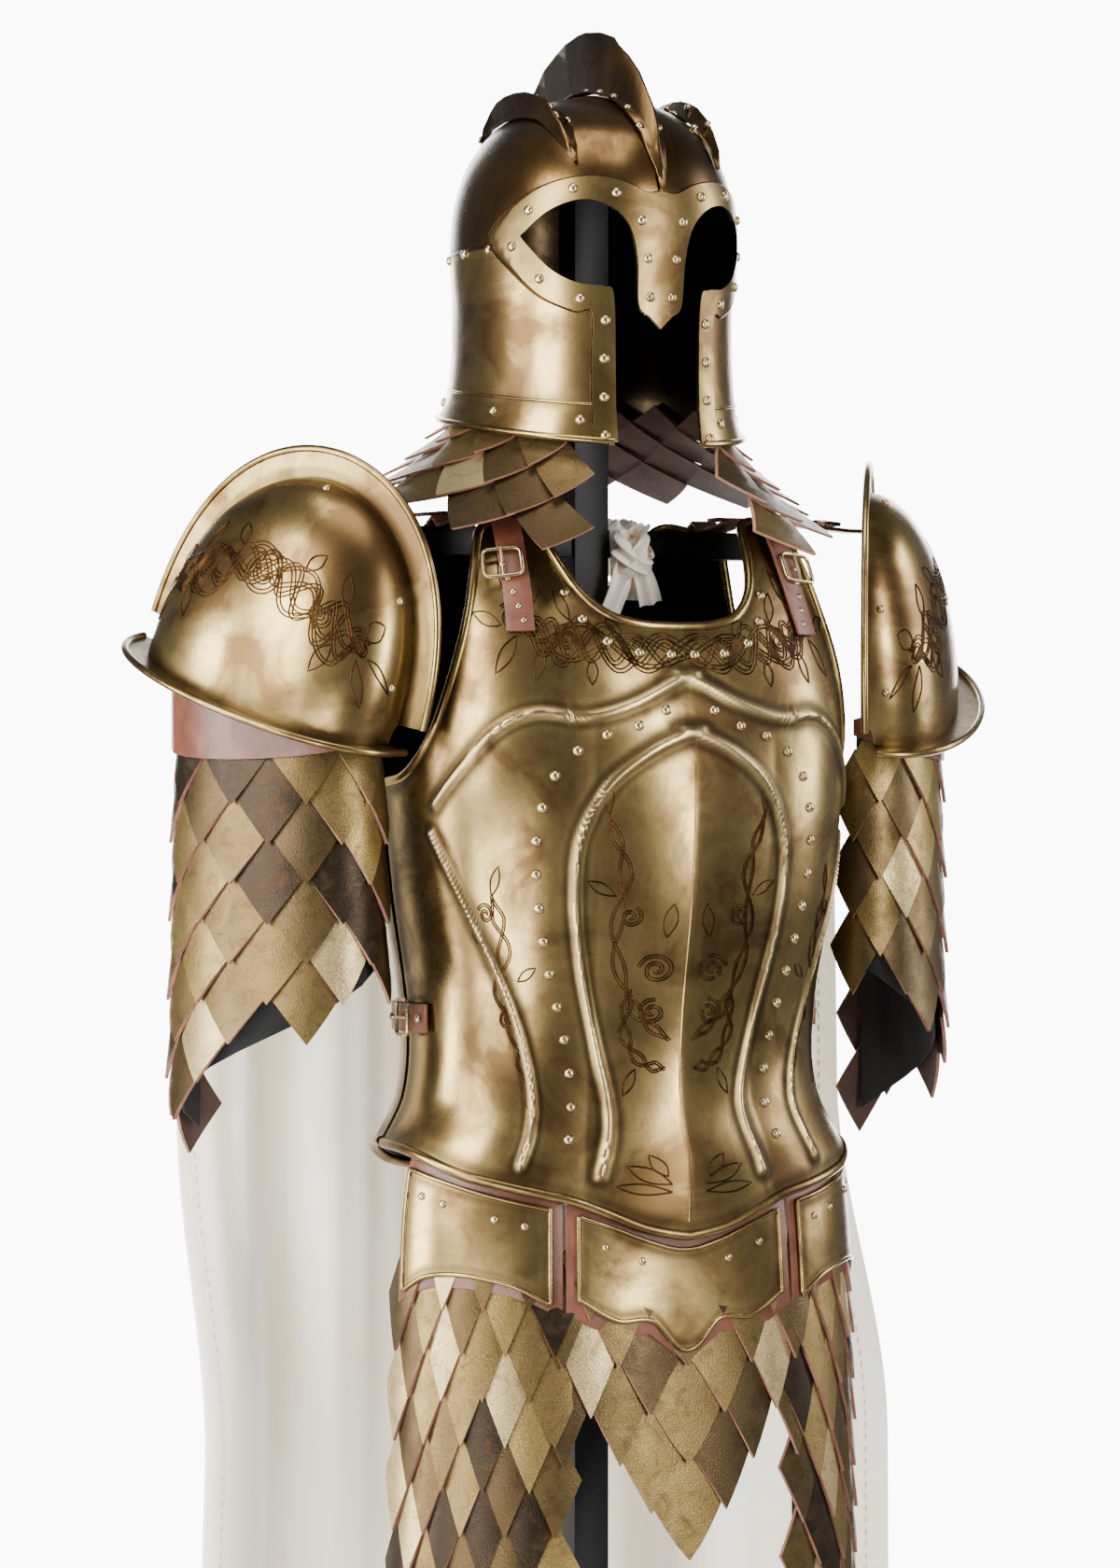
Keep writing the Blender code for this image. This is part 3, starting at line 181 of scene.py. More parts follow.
def brass_material(name, gold, brown, dark, cloud=71.43, shift=0.0):
    """Antiqued brass sheet: polished and darkened with a brown patina, so broad warm clouds and fine rubbing
    marks show;
    painted shade darkens the corners beside each raised bead, the edges and the inner faces along with the
    patina, and a painted highlight lightens the crests of the beads."""
    material, tree, shader = new_material(name)
    place = add_node(tree, "TexCoord", {}, {}, "Object")
    clouds = add_node(tree, "TexNoise", {}, {"Vector": place, "Scale": per_metre(cloud), "Detail": 5.0,
                                             "Roughness": 0.58, "Distortion": 0.6})
    rubbed = add_node(tree, "MapRange", {}, {"Value": clouds, "From Min": 0.38 - shift,
                                             "From Max": 0.56 - shift})
    colour = add_node(tree, "Mix", RGBA, {0: rubbed, 6: brown, 7: gold}, 2)
    # Real rubbing marks are under 0.2 mm wide: these are drawn at 4 mm, so that they show.
    upright = add_node(tree, "Mapping", {}, {"Vector": place, "Scale": (1.0, 1.0, 0.25)})
    grain = add_node(tree, "TexNoise", {}, {"Vector": upright, "Scale": per_metre(3.846), "Detail": 3.0,
                                            "Roughness": 0.6})
    marks = add_node(tree, "MapRange", {}, {"Value": grain, "From Min": 0.35, "From Max": 0.75,
                                            "To Max": 0.22})
    colour = add_node(tree, "Mix", RGBA, {0: marks, 6: colour, 7: brown}, 2)
    patina_and_shade = add_node(tree, "Attribute", {"attribute_name": "patina_and_shade"}, {}, "Fac")
    bright = add_node(tree, "Attribute", {"attribute_name": "bright"}, {}, "Fac")
    # Darkened by patina together with painted shade beside the beads, along edges and rims and on inner faces.
    depth = add_node(tree, "MapRange", {}, {"Value": patina_and_shade, "To Max": 0.88})
    colour = add_node(tree, "Mix", RGBA, {0: depth, 6: colour, 7: dark}, 2)
    # Painted highlight: the crests of the beads are mixed towards a light brass colour.
    painted_highlight_share = add_node(tree, "MapRange", {}, {"Value": bright, "To Max": 0.5})
    colour = add_node(tree, "Mix", RGBA, {0: painted_highlight_share, 6: colour, 7: linear("#cdb584")}, 2)
    worn = add_node(tree, "MapRange", {}, {"Value": clouds, "From Min": 0.3, "From Max": 0.7, "To Min": 0.34,
                                           "To Max": 0.20})
    dull = add_node(tree, "MapRange", {}, {"Value": patina_and_shade, "To Max": 0.2})
    rough = add_node(tree, "Math", {"operation": "ADD"}, {0: worn, 1: dull})
    # Dents of the hammer and of wear, about 22 mm apart
    dents = add_node(tree, "TexNoise", {}, {"Vector": place, "Scale": per_metre(22.222), "Detail": 3.0,
                                            "Roughness": 0.5})
    bump = add_node(tree, "Bump", {}, {"Strength": 0.16, "Distance": 0.0012, "Height": dents})
    set_inputs(tree, shader, {"Base Color": colour, "Metallic": 1.0, "Roughness": rough, "Normal": bump})
    return material


def scale_material(name):
    """Leather brushed with bronze metallic paint: each scale has its own tone, the paint is crackled
    along the grain and worn back to brown leather in places."""
    material, tree, shader = new_material(name)
    place = add_node(tree, "TexCoord", {}, {}, "Object")
    tone = add_node(tree, "Attribute", {"attribute_name": "tone"}, {}, "Fac")
    colour = add_node(tree, "ValToRGB", {}, {"Fac": tone})
    stops = colour.node.color_ramp.elements
    while len(stops) < len(SCALE_TONES):
        stops.new(0.5)
    for stop, (where, code) in zip(stops, SCALE_TONES):
        stop.position = where
        stop.color = linear(code)
    wear = add_node(tree, "TexNoise", {}, {"Vector": place, "Scale": per_metre(16.667), "Detail": 6.0,
                                           "Roughness": 0.65, "Distortion": 1.0})
    bare = add_node(tree, "MapRange", {}, {"Value": wear, "From Min": 0.52, "From Max": 0.72, "To Max": 0.55})
    colour = add_node(tree, "Mix", RGBA, {0: bare, 6: colour, 7: linear("#4b351d")}, 2)
    # The cracks of the paint follow the leather's grain, about 2.4 mm apart.
    crackle = add_node(tree, "TexVoronoi", {"feature": "DISTANCE_TO_EDGE"}, {"Vector": place,
                                                                             "Scale": per_metre(2.381)})
    cracks = add_node(tree, "MapRange", {}, {"Value": crackle, "From Max": 0.09, "To Min": 0.55,
                                             "To Max": 0.0})
    colour = add_node(tree, "Mix", RGBA, {0: cracks, 6: colour, 7: linear("#3a2814")}, 2)
    rough = add_node(tree, "MapRange", {}, {"Value": wear, "From Min": 0.35, "From Max": 0.7, "To Min": 0.34,
                                            "To Max": 0.52})
    bump = add_node(tree, "Bump", {}, {"Strength": 0.35, "Distance": 0.0006, "Height": crackle})
    set_inputs(tree, shader, {"Base Color": colour, "Metallic": 0.82, "Roughness": rough, "Normal": bump})
    return material


def leather_material(name, light, deep, rough):
    """Vegetable-tanned leather, dyed: fine pebbled grain, uneven dye and a low waxy sheen."""
    material, tree, shader = new_material(name)
    place = add_node(tree, "TexCoord", {}, {}, "Object")
    dye = add_node(tree, "TexNoise", {}, {"Vector": place, "Scale": per_metre(28.571), "Detail": 5.0,
                                          "Roughness": 0.6, "Distortion": 0.4})
    share = add_node(tree, "MapRange", {}, {"Value": dye, "From Min": 0.3, "From Max": 0.7})
    colour = add_node(tree, "Mix", RGBA, {0: share, 6: deep, 7: light}, 2)
    pebble = add_node(tree, "TexVoronoi", {}, {"Vector": place, "Scale": per_metre(1.111)})
    bump = add_node(tree, "Bump", {}, {"Strength": 0.4, "Distance": 0.0003, "Height": pebble})
    set_inputs(tree, shader, {"Base Color": colour, "Roughness": rough, "IOR": 1.5, "Normal": bump})
    return material


def cloth_material(name, light, deep, thread, sheen, through=0.0):
    """Plain-woven cotton: matte, with a weave of this thread spacing and a soft light edge from its
    fibres; through is how much of the light spreads inside it, as in a thin cloth."""
    material, tree, shader = new_material(name)
    place = add_node(tree, "TexCoord", {}, {}, "Object")
    # Lighter and darker patches about 111 mm across: painted shade of soft folds, in the cloth's colour.
    folds = add_node(tree, "TexNoise", {}, {"Vector": place, "Scale": per_metre(111.11), "Detail": 3.0,
                                            "Roughness": 0.5})
    share = add_node(tree, "MapRange", {}, {"Value": folds, "From Min": 0.3, "From Max": 0.7})
    colour = add_node(tree, "Mix", RGBA, {0: share, 6: deep, 7: light}, 2)
    upright = add_node(tree, "Mapping", {}, {"Vector": place, "Scale": (1.0, 1.0, 0.5)})
    weave = add_node(tree, "TexNoise", {}, {"Vector": upright, "Scale": per_metre(thread), "Detail": 2.0,
                                            "Roughness": 0.5})
    bump = add_node(tree, "Bump", {}, {"Strength": 0.35, "Distance": 0.0003, "Height": weave})
    set_inputs(tree, shader, {"Base Color": colour, "Roughness": 0.92, "Sheen Weight": sheen, "Normal": bump,
                              "Subsurface Weight": through, "Subsurface Radius": (1.0, 0.95, 0.88),
                              "Subsurface Scale": 0.004})
    return material


def steel_material(name):
    """Square steel tube, powder-coated black: a satin skin with a fine orange-peel."""
    material, tree, shader = new_material(name)
    place = add_node(tree, "TexCoord", {}, {}, "Object")
    peel = add_node(tree, "TexNoise", {}, {"Vector": place, "Scale": per_metre(1.4286), "Detail": 2.0,
                                           "Roughness": 0.5})
    bump = add_node(tree, "Bump", {}, {"Strength": 0.3, "Distance": 0.0002, "Height": peel})
    set_inputs(tree, shader, {"Base Color": linear("#0d0d0e"), "Roughness": 0.5, "Specular IOR Level": 0.3,
                              "IOR": 1.5, "Normal": bump})
    return material


def make_materials():
    """Makes every material of the armour, under the short names that the pieces use."""
    brass, cotton = (*settings().brass, 1.0), (*settings().cotton, 1.0)
    made = {
        "brass": brass_material("antique_brass", brass, linear("#5c472b"), linear("#120c07")),
        "brown_brass": brass_material("brown_brass", linear("#775c37"), linear("#46331e"), linear("#120c07"),
                                      90.909, -0.06),
        "rivet": brass_material("rivet_brass", linear("#b8a57e"), linear("#8f7a55"), linear("#2a1c0e"),
                                16.667),
        # Also drawn as a painted shadow along the edges of the helm's face band.
        "etched": brass_material("etched_and_shadow_line", linear("#3a2713"), linear("#2a1a0c"), linear("#120b05"),
                                 25.0),
        # Inner faces: darker brass, for the dark-painted inside with painted shade over it.
        "inside": brass_material("inside_brass", linear("#2c2318"), linear("#1a140d"), linear("#0c0906"),
                                 33.333),
        "scale": scale_material("scale_leather"),
        "raw": leather_material("raw_edge", linear("#9a6a56"), linear("#6b4638"), 0.8),
        "flesh": leather_material("flesh_side", linear("#4b3226"), linear("#33221a"), 0.85),
        "leather": leather_material("brown_leather", linear("#6d3d2a"), linear("#472517"), 0.38),
        "black": cloth_material("black_cloth", linear("#0c0b0b"), linear("#060606"), 0.4545, 0.0),
        "cotton": cloth_material("cream_cotton", cotton, linear("#fbe8cd"), 0.625, 0.35, 0.7),
        "thread": cloth_material("thread", linear("#d9ccb2"), linear("#c7b898"), 0.3333, 0.2),
        "steel": steel_material("black_steel"),
    }
    MATERIALS.update(made)


# Mesh and curve helpers

def link(obj, material, replaced=()):
    """Adds a piece to the scene on the object's one body."""
    for one in material if isinstance(material, (list, tuple)) else (material,):
        obj.data.materials.append(MATERIALS[one])
    bpy.context.scene.collection.objects.link(obj)
    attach(obj, "root")
    if replaced:
        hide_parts(*replaced)
    return obj


def mesh_piece(name, points, faces, material, replaced=(), angle=40.0, values=None, picks=None):
    """A mesh piece, smooth but for edges sharper than angle, with point values for its material."""
    mesh = bpy.data.meshes.new(name)
    mesh.from_pydata([tuple(p) for p in points], [], faces)
    mesh.update()
    for key, numbers in (values or {}).items():
        mesh.attributes.new(key, "FLOAT", "POINT").data.foreach_set("value", np.asarray(numbers, np.float32))
    if picks is not None:
        mesh.polygons.foreach_set("material_index", picks)
    mesh.polygons.foreach_set("use_smooth", [True] * len(mesh.polygons))
    obj = bpy.data.objects.new(name, mesh)
    mesh.set_sharp_from_angle(angle=math.radians(angle))
    return link(obj, material, replaced)


def shell(outer, inner, closed=False):
    """Points and faces of a wall between two grids of equal size; outer's normals point out."""
    rows, columns = len(outer), len(outer[0])
    points = [p for row in outer for p in row] + [p for row in inner for p in row]
    back = rows * columns
    faces = []
    wrap = columns if closed else columns - 1
    for r in range(rows - 1):
        for c in range(wrap):
            n = (c + 1) % columns
            a, b = r * columns + c, r * columns + n
            d, e = a + columns, b + columns
            faces.append((a, b, e, d))
            faces.append((back + d, back + e, back + b, back + a))
    for c in range(wrap):
        n = (c + 1) % columns
        faces.append((back + c, back + n, n, c))
        a, b = (rows - 1) * columns + c, (rows - 1) * columns + n
        faces.append((a, b, back + b, back + a))
    if not closed:
        for r in range(rows - 1):
            a, d = r * columns, (r + 1) * columns
            faces.append((a, d, back + d, back + a))
            a, d = a + columns - 1, d + columns - 1
            faces.append((back + a, back + d, d, a))
    return points, faces


def outward(faces, points, centre):
    """Turns every face round where the first one looks at centre."""
    a, b, c = (Vector(points[i]) for i in faces[0][:3])
    if (b - a).cross(c - a).dot(a - centre) < 0:
        return [tuple(reversed(f)) for f in faces]
    return faces


def tube(name, lines, radius, material="brass", closed=False, sides=3):
    """Round wire along each line of points, as one curve piece."""
    data = bpy.data.curves.new(name, "CURVE")
    data.dimensions = "3D"
    data.bevel_depth = radius
    data.bevel_resolution = sides
    data.use_fill_caps = True
    for line in lines:
        spline = data.splines.new("POLY")
        spline.points.add(len(line) - 1)
        spline.points.foreach_set("co", [x for p in line for x in (*p, 1.0)])
        spline.use_cyclic_u = closed
        spline.use_smooth = True
    return link(bpy.data.objects.new(name, data), material)


DOME = ((1.0, 0.0), (0.97, 0.22), (0.80, 0.48), (0.45, 0.66), (0.0, 0.72))


def rivets(name, places, radius=None):
    """Domed heads, one at each (point, normal), as one mesh."""
    radius = radius or settings().rivet_radius
    sides = 12
    points, faces = [], []
    for point, normal in places:
        turn = Vector(normal).to_track_quat("Z", "Y").to_matrix()
        start = len(points)
        for ring, rise in DOME[:-1]:
            for i in range(sides):
                a = 2 * math.pi * i / sides
                local = Vector((ring * math.cos(a), ring * math.sin(a), rise)) * radius
                points.append(point + turn @ local)
        points.append(point + turn @ Vector((0, 0, DOME[-1][1] * radius)))
        for k in range(len(DOME) - 2):
            for i in range(sides):
                a, b = start + k * sides + i, start + k * sides + (i + 1) % sides
                faces.append((a, b, b + sides, a + sides))
        top = start + (len(DOME) - 2) * sides
        faces += [(top + i, top + (i + 1) % sides, top + sides) for i in range(sides)]
        faces.append(tuple(start + i for i in reversed(range(sides))))
    return mesh_piece(name, points, faces, "rivet", angle=80.0)


def spaced(line, step, ends=True):
    """Places every step metres along a line of points, as fractional indices."""
    sums = [0.0]
    for a, b in zip(line, line[1:]):
        sums.append(sums[-1] + (b - a).length)
    count = max(1, round(sums[-1] / step))
    wanted = [sums[-1] * i / count for i in range(count + 1)]
    if not ends:
        wanted = wanted[1:-1]
    return [float(np.interp(w, sums, range(len(sums)))) for w in wanted]


def stud_at(point_at, low=0.0, high=0.01):
    """(point, normal) of a stud, from a surface's point at two heights."""
    foot = point_at(low)
    return foot, (point_at(high) - foot).normalized()


def rivets_on(surface, line, step, height=0.0, ends=True):
    """(point, normal) every step metres along a line of (a, b) on surface(a, b, height)."""
    dense = smoothed(line, 12)
    world = [surface(a, b, height) for a, b in dense]
    found = []
    for at in spaced(world, step, ends):
        i = min(int(at), len(dense) - 2)
        t = at - i
        a = dense[i][0] * (1 - t) + dense[i + 1][0] * t
        b = dense[i][1] * (1 - t) + dense[i + 1][1] * t
        found.append(stud_at(lambda h: surface(a, b, h), height, height + 0.01))
    return found


def smoothed(line, parts=10):
    """A Catmull-Rom line through points of any size."""
    pts = [np.array(p, float) for p in line]
    pts = [2 * pts[0] - pts[1]] + pts + [2 * pts[-1] - pts[-2]]
    out = []
    for i in range(1, len(pts) - 2):
        p0, p1, p2, p3 = pts[i - 1:i + 3]
        for k in range(parts):
            t = k / parts
            out.append(0.5 * (2 * p1 + (p2 - p0) * t + (2 * p0 - 5 * p1 + 4 * p2 - p3) * t * t
                              + (3 * p1 - p0 - 3 * p2 + p3) * t ** 3))
    out.append(pts[-2])
    return [tuple(p) for p in out]


# Surfaces shared with the CAD solids

def smooth(table, where):
    """Values of a table's rows at a place, on a smooth curve through them."""
    last = len(table) - 2
    i = 0
    while i < last and where > table[i + 1][0]:
        i += 1
    low, high = table[i], table[i + 1]
    before, after = table[max(i - 1, 0)], table[min(i + 2, last + 1)]
    width = high[0] - low[0]
    t = min(max((where - low[0]) / width, 0.0), 1.0)
    values = []
    for k in range(1, len(low)):
        slope_low = (high[k] - before[k]) / (high[0] - before[0]) * width
        slope_high = (after[k] - low[k]) / (after[0] - low[0]) * width
        values.append((2 * t**3 - 3 * t**2 + 1) * low[k] + (t**3 - 2 * t**2 + t) * slope_low
                      + (3 * t**2 - 2 * t**3) * high[k] + (t**3 - t**2) * slope_high)
    return values


def spread(start, end, count):
    """Evenly spaced numbers from start to end."""
    return [start + (end - start) * i / (count - 1) for i in range(count)]


def lifted(surface, a, b, height, step=1e-3):
    """A point at a height over surface(a, b)."""
    here = surface(a, b)
    along = surface(a + step, b) - surface(a - step, b)
    up = surface(a, b + step) - surface(a, b - step)
    return here + along.cross(up).normalized() * height


def superellipse(angle, power):
    """Side and front shares of a rounded outline, angle counted from the front."""
    side, front = math.sin(angle), math.cos(angle)
    return math.copysign(abs(side) ** (2 / power), side), math.copysign(abs(front) ** (2 / power), front)


# height share, half width share, front share, back share, keel share
TORSO = (
    (-1.00, 1.12, 1.06, 1.00, 0.0), (-0.35, 1.10, 1.06, 1.00, 0.0), (-0.06, 1.08, 1.02, 0.98, 0.0),
    (0.10, 1.03, 0.95, 0.93, 1.0), (0.19, 0.91, 0.84, 0.86, 1.0), (0.30, 0.89, 0.86, 0.88, 1.0),
    (0.48, 0.96, 0.99, 0.96, 1.0), (0.64, 1.00, 1.05, 1.00, 0.7), (0.78, 0.99, 0.99, 0.96, 0.0),
    (0.90, 0.94, 0.76, 0.80, 0.0), (1.00, 0.90, 0.44, 0.64, 0.0),
)


def torso(angle, share):
    """A point of the body's form, share counted up the cuirass."""
    width, front, back, ridge_share = smooth(TORSO, share)
    side, ahead = superellipse(angle, 2.35)
    depth = front if ahead > 0 else back
    keel = KEEL * ridge_share * max(0.0, 1 - abs(math.sin(angle)) / KEEL_SPREAD) if ahead > 0 else 0.0
    return Vector((CHEST_HALF_WIDTH * width * side, CHEST_CENTRE_Y - CHEST_HALF_DEPTH * depth * ahead - keel,
                   CUIRASS_POINT_Z + share * TORSO_SPAN))


def on_torso(angle, share, height):
    """A point at a height over the body's form."""
    return lifted(torso, angle, share, height)


HELM = (
    (0.00, 1.07, 1.00, 1.10), (0.10, 1.01, 0.97, 1.03), (0.35, 0.98, 0.97, 0.99), (0.56, 1.00, 1.00, 1.00),
    (0.70, 0.97, 0.99, 0.97), (0.82, 0.86, 0.89, 0.87), (0.91, 0.67, 0.70, 0.69), (0.97, 0.40, 0.42, 0.41),
    (0.995, 0.15, 0.16, 0.16),
)


def helm(angle, share):
    """A point of the helm's form, share counted up from its lower rim."""
    width, front, back = smooth(HELM, share)
    side, ahead = superellipse(angle, 2.15)
    depth = front if ahead > 0 else back
    rise = HELM_RIM_RISE * (1 - math.cos(angle)) / 2 * max(0.0, 1 - share / 0.5)
    return Vector((HELM_HALF_WIDTH * width * side, HELM_CENTRE_Y - HELM_HALF_DEPTH * depth * ahead,
                   HELM_BOTTOM_Z + HELM_HEIGHT * share + rise))


def on_helm(angle, share, height):
    """A point at a height over the helm's form."""
    return lifted(helm, angle, share, height)


def shoulder_frame(side, tilt=PAULDRON_TILT):
    """The directions ahead, up and away of a pauldron."""
    turn = Matrix.Rotation(-side * PAULDRON_TURN, 3, "Z")
    ahead = turn @ Vector((0, -1, 0))
    away = turn @ Vector((side, 0, 0))
    up = Vector((0, 0, 1))
    return ahead * math.cos(tilt) - up * math.sin(tilt), up * math.cos(tilt) + ahead * math.sin(tilt), away


def shoulder_centre(side):
    """The middle of a pauldron's dome."""
    return Vector((side * PAULDRON_OUT, PAULDRON_BACK, PAULDRON_Z))


def pauldron_point(side, along, around, height, rim=0.0):
    """A point of a pauldron's dome, at a height over it and rim out along its edge."""
    ahead, up, away = shoulder_frame(side)
    angle = along * math.pi / 2 * 0.97
    ring = math.cos(angle) ** 0.8
    turn = around * DOME_SWEEP
    tip = math.sin(angle)
    radial = up * math.cos(turn) + away * math.sin(turn)
    point = (shoulder_centre(side) + ahead * (DOME_LENGTH * tip) + up * (DOME_HEIGHT * ring * math.cos(turn))
             + away * (DOME_DEPTH * ring * math.sin(turn)))
    normal = (ahead * (tip / DOME_LENGTH) + up * (ring * math.cos(turn) / DOME_HEIGHT)
              + away * (ring * math.sin(turn) / DOME_DEPTH)).normalized()
    spread_way = (ahead * tip + radial * max(ring, 0.15)).normalized()
    return point + normal * height + spread_way * rim


def arm_point(side, around, z, height):
    """A point of the arm's form, which caps and sleeves follow."""
    ahead, _, away = shoulder_frame(side, 0.0)
    angle = around * ARM_HALF_ANGLE
    centre = shoulder_centre(side)
    return (Vector((centre.x, centre.y, z)) + ahead * ((ARM_LENGTH_RADIUS + height) * math.sin(angle))
            + away * ((ARM_DEPTH_RADIUS + height) * math.cos(angle)))


def aventail_point(a, b, height):
    """A point of the aventail, a around the helm and b down."""
    angle = AVENTAIL_FRONT + (2 * math.pi - 2 * AVENTAIL_FRONT) * a
    top = helm(angle, 0.06)
    away = Vector((math.sin(angle), -math.cos(angle), 0))
    out = Vector((away.x, away.y, 0.35)).normalized()
    reach = AVENTAIL_FLARE * max(0.0, b - 0.22) ** 1.25 * 1.35
    drop = AVENTAIL_LENGTH * b * (0.74 + 0.34 * max(0.0, math.cos(angle)))
    inset = HELM_WALL + RIM_R + LEATHER + 0.002
    return top + away * (reach - inset) - Vector((0, 0, drop)) + out * height


# Shapes used by several pieces

CROWN_RISE = Vector((0, 0, 0.0015))     # of the helm's crown over its last ring
BEAD_RISE = 0.0034
BEAD_WIDTH = 0.0032

def tree_of(obj):
    """A tree of an object's shown faces, for finding points on it."""
    evaluated = obj.evaluated_get(bpy.context.evaluated_depsgraph_get())
    mesh = evaluated.to_mesh()
    tree = BVHTree.FromPolygons([obj.matrix_world @ v.co for v in mesh.vertices],
                                [tuple(p.vertices) for p in mesh.polygons])
    evaluated.to_mesh_clear()
    return tree


def hit(tree, start, way):
    """(point, normal against the ray) where a ray meets a tree, or None."""
    point, normal, _, _ = tree.ray_cast(Vector(start), Vector(way).normalized())
    if point is None:
        return None
    return (point, normal if normal.dot(Vector(way)) < 0 else -normal)


def helm_shell(name, outside, wall, columns=120, rows=46):
    """A closed, finely divided wall of the helm's form."""
    shares = [0.0] + spread(0.02, 0.80, rows - 14) + spread(0.815, 0.995, 13)
    angles = [2 * math.pi * i / columns for i in range(columns)]
    grids = [[[on_helm(a, s, h) for a in angles] for s in shares] for h in (outside, outside - wall)]
    points, faces = shell(grids[0], grids[1], True)
    rows = len(shares)
    top = (rows - 1) * columns
    back = rows * columns
    faces = [f for f in faces if not (min(f) >= top and min(f) < back and max(f) >= back + top)]
    crowns = [sum((points[at + c] for c in range(columns)), Vector()) / columns + CROWN_RISE
              for at in (top, back + top)]
    points += crowns
    for c in range(columns):
        n = (c + 1) % columns
        faces.append((top + c, top + n, len(points) - 2))
        faces.append((back + top + n, back + top + c, len(points) - 1))
    mesh = bpy.data.meshes.new(name)
    mesh.from_pydata([tuple(p) for p in points], [], faces)
    obj = bpy.data.objects.new(name, mesh)
    bpy.context.scene.collection.objects.link(obj)
    return obj


def outline_prism(name, half):
    """A smooth outline given by its right half, run back through the front of the helm."""
    corners = smoothed(half, 6)
    right = [(HELM_HALF_WIDTH * x, HELM_BOTTOM_Z + HELM_HEIGHT * z) for x, z in corners]
    ring = right + [(-x, z) for x, z in reversed(right) if x > 1e-6]
    near, far = HELM_CENTRE_Y - 2 * HELM_HALF_DEPTH, HELM_CENTRE_Y - 0.012
    points = [(x, near, z) for x, z in ring] + [(x, far, z) for x, z in ring]
    n = len(ring)
    faces = [tuple(range(n)), tuple(range(2 * n - 1, n - 1, -1))]
    faces += [(i, n + i, n + (i + 1) % n, (i + 1) % n) for i in range(n)]
    mesh = bpy.data.meshes.new(name)
    mesh.from_pydata(points, [], faces)
    obj = bpy.data.objects.new(name, mesh)
    bpy.context.scene.collection.objects.link(obj)
    select(obj)
    bpy.ops.object.mode_set(mode="EDIT")
    bpy.ops.mesh.select_all(action="SELECT")
    bpy.ops.mesh.normals_make_consistent(inside=False)
    bpy.ops.object.mode_set(mode="OBJECT")
    return obj


def select(obj):
    """Makes an object the only selected one, and active."""
    for other in bpy.context.selected_objects:
        other.select_set(False)
    obj.select_set(True)
    bpy.context.view_layer.objects.active = obj


def cut(obj, cutter, operation):
    """Applies a Boolean and removes its cutter."""
    modifier = obj.modifiers.new(operation, "BOOLEAN")
    modifier.operation = operation
    modifier.solver = "EXACT"
    modifier.object = cutter
    select(obj)
    bpy.ops.object.modifier_apply(modifier=modifier.name)
    bpy.data.objects.remove(cutter)
    return obj


def looks_in(polygon):
    """True for a face of the helm's wall that looks at its middle."""
    middle = Vector((0, HELM_CENTRE_Y, min(polygon.center.z, HELM_BOTTOM_Z + 0.6 * HELM_HEIGHT)))
    return polygon.normal.dot((polygon.center - middle).normalized()) < -0.5


def dressed(obj, materials, replaced, angle=35.0, values=None, pick=None):
    """Gives a cut mesh its shading, point values, materials and place on the body."""
    mesh = obj.data
    bpy.context.scene.collection.objects.unlink(obj)
    mesh.materials.clear()
    mesh.polygons.foreach_set("use_smooth", [True] * len(mesh.polygons))
    mesh.set_sharp_from_angle(angle=math.radians(angle))
    # Faces that look inwards take the third, darker material: painted shade inside the helm, with its
    # dark-painted inside.
    if pick:
        mesh.polygons.foreach_set("material_index", [2 if looks_in(p) else pick(p.center)
                                                      for p in mesh.polygons])
    for key, rule in (values or {}).items():
        made = mesh.attributes.new(key, "FLOAT", "POINT")
        made.data.foreach_set("value", [rule(v.co) for v in mesh.vertices])
    return link(obj, materials, replaced)


def distance_to(lines, points):
    """Distance of each 2-D point to the nearest of some lines, in metres."""
    best = np.full(len(points), 9.0)
    for line in lines:
        line = np.array(line, float)
        for a, b in zip(line[:-1], line[1:]):
            way = b - a
            t = np.clip(((points - a) @ way) / max(way @ way, 1e-12), 0, 1)
            best = np.minimum(best, np.linalg.norm(points - a - t[:, None] * way, axis=1))
    return best


def plate_grid(surface, low, top, columns, rows, height_at, lines=(), rim_band=0.012):
    """Grids of a fine plate between two edges, and its values of patina with painted shade and of painted
    highlight.
    surface(a, b, height); low(a) and top(a) give b at the edges; lines are beads in metres."""
    shares = spread(-1, 1, columns)
    flat = np.array([(a, low(a) + (top(a) - low(a)) * v) for v in spread(0, 1, rows) for a in shares])
    metric = flat * np.array(height_at)
    near = distance_to(lines, metric) if lines else np.full(len(metric), 9.0)
    rise = BEAD_RISE * np.exp(-(near / BEAD_WIDTH) ** 2)
    # Painted shade, with patina: a dark band just beside each bead.
    patina_and_shade = 0.95 * np.exp(-((near - 0.0075) / 0.0050) ** 2)
    # Painted highlight along the crest of each bead.
    bright = np.exp(-(near / 0.0022) ** 2)
    v = np.repeat(np.array(spread(0, 1, rows)), columns)
    span = np.array([(top(a) - low(a)) for a in shares] * rows) * height_at[1]
    edge = np.minimum(v, 1 - v) * span
    side = (1 - np.abs(flat[:, 0])) * height_at[0]
    inside_rim = np.minimum(edge, side) - rim_band * 0.6
    # Painted shade, with patina: a dark band just inside the rims.
    patina_and_shade = np.maximum(patina_and_shade, 0.8 * np.exp(-(inside_rim / (rim_band * 0.6)) ** 2))
    outer = [[surface(*flat[r * columns + c], rise[r * columns + c]) for c in range(columns)]
             for r in range(rows)]
    return flat, outer, patina_and_shade, bright


# Leather scales

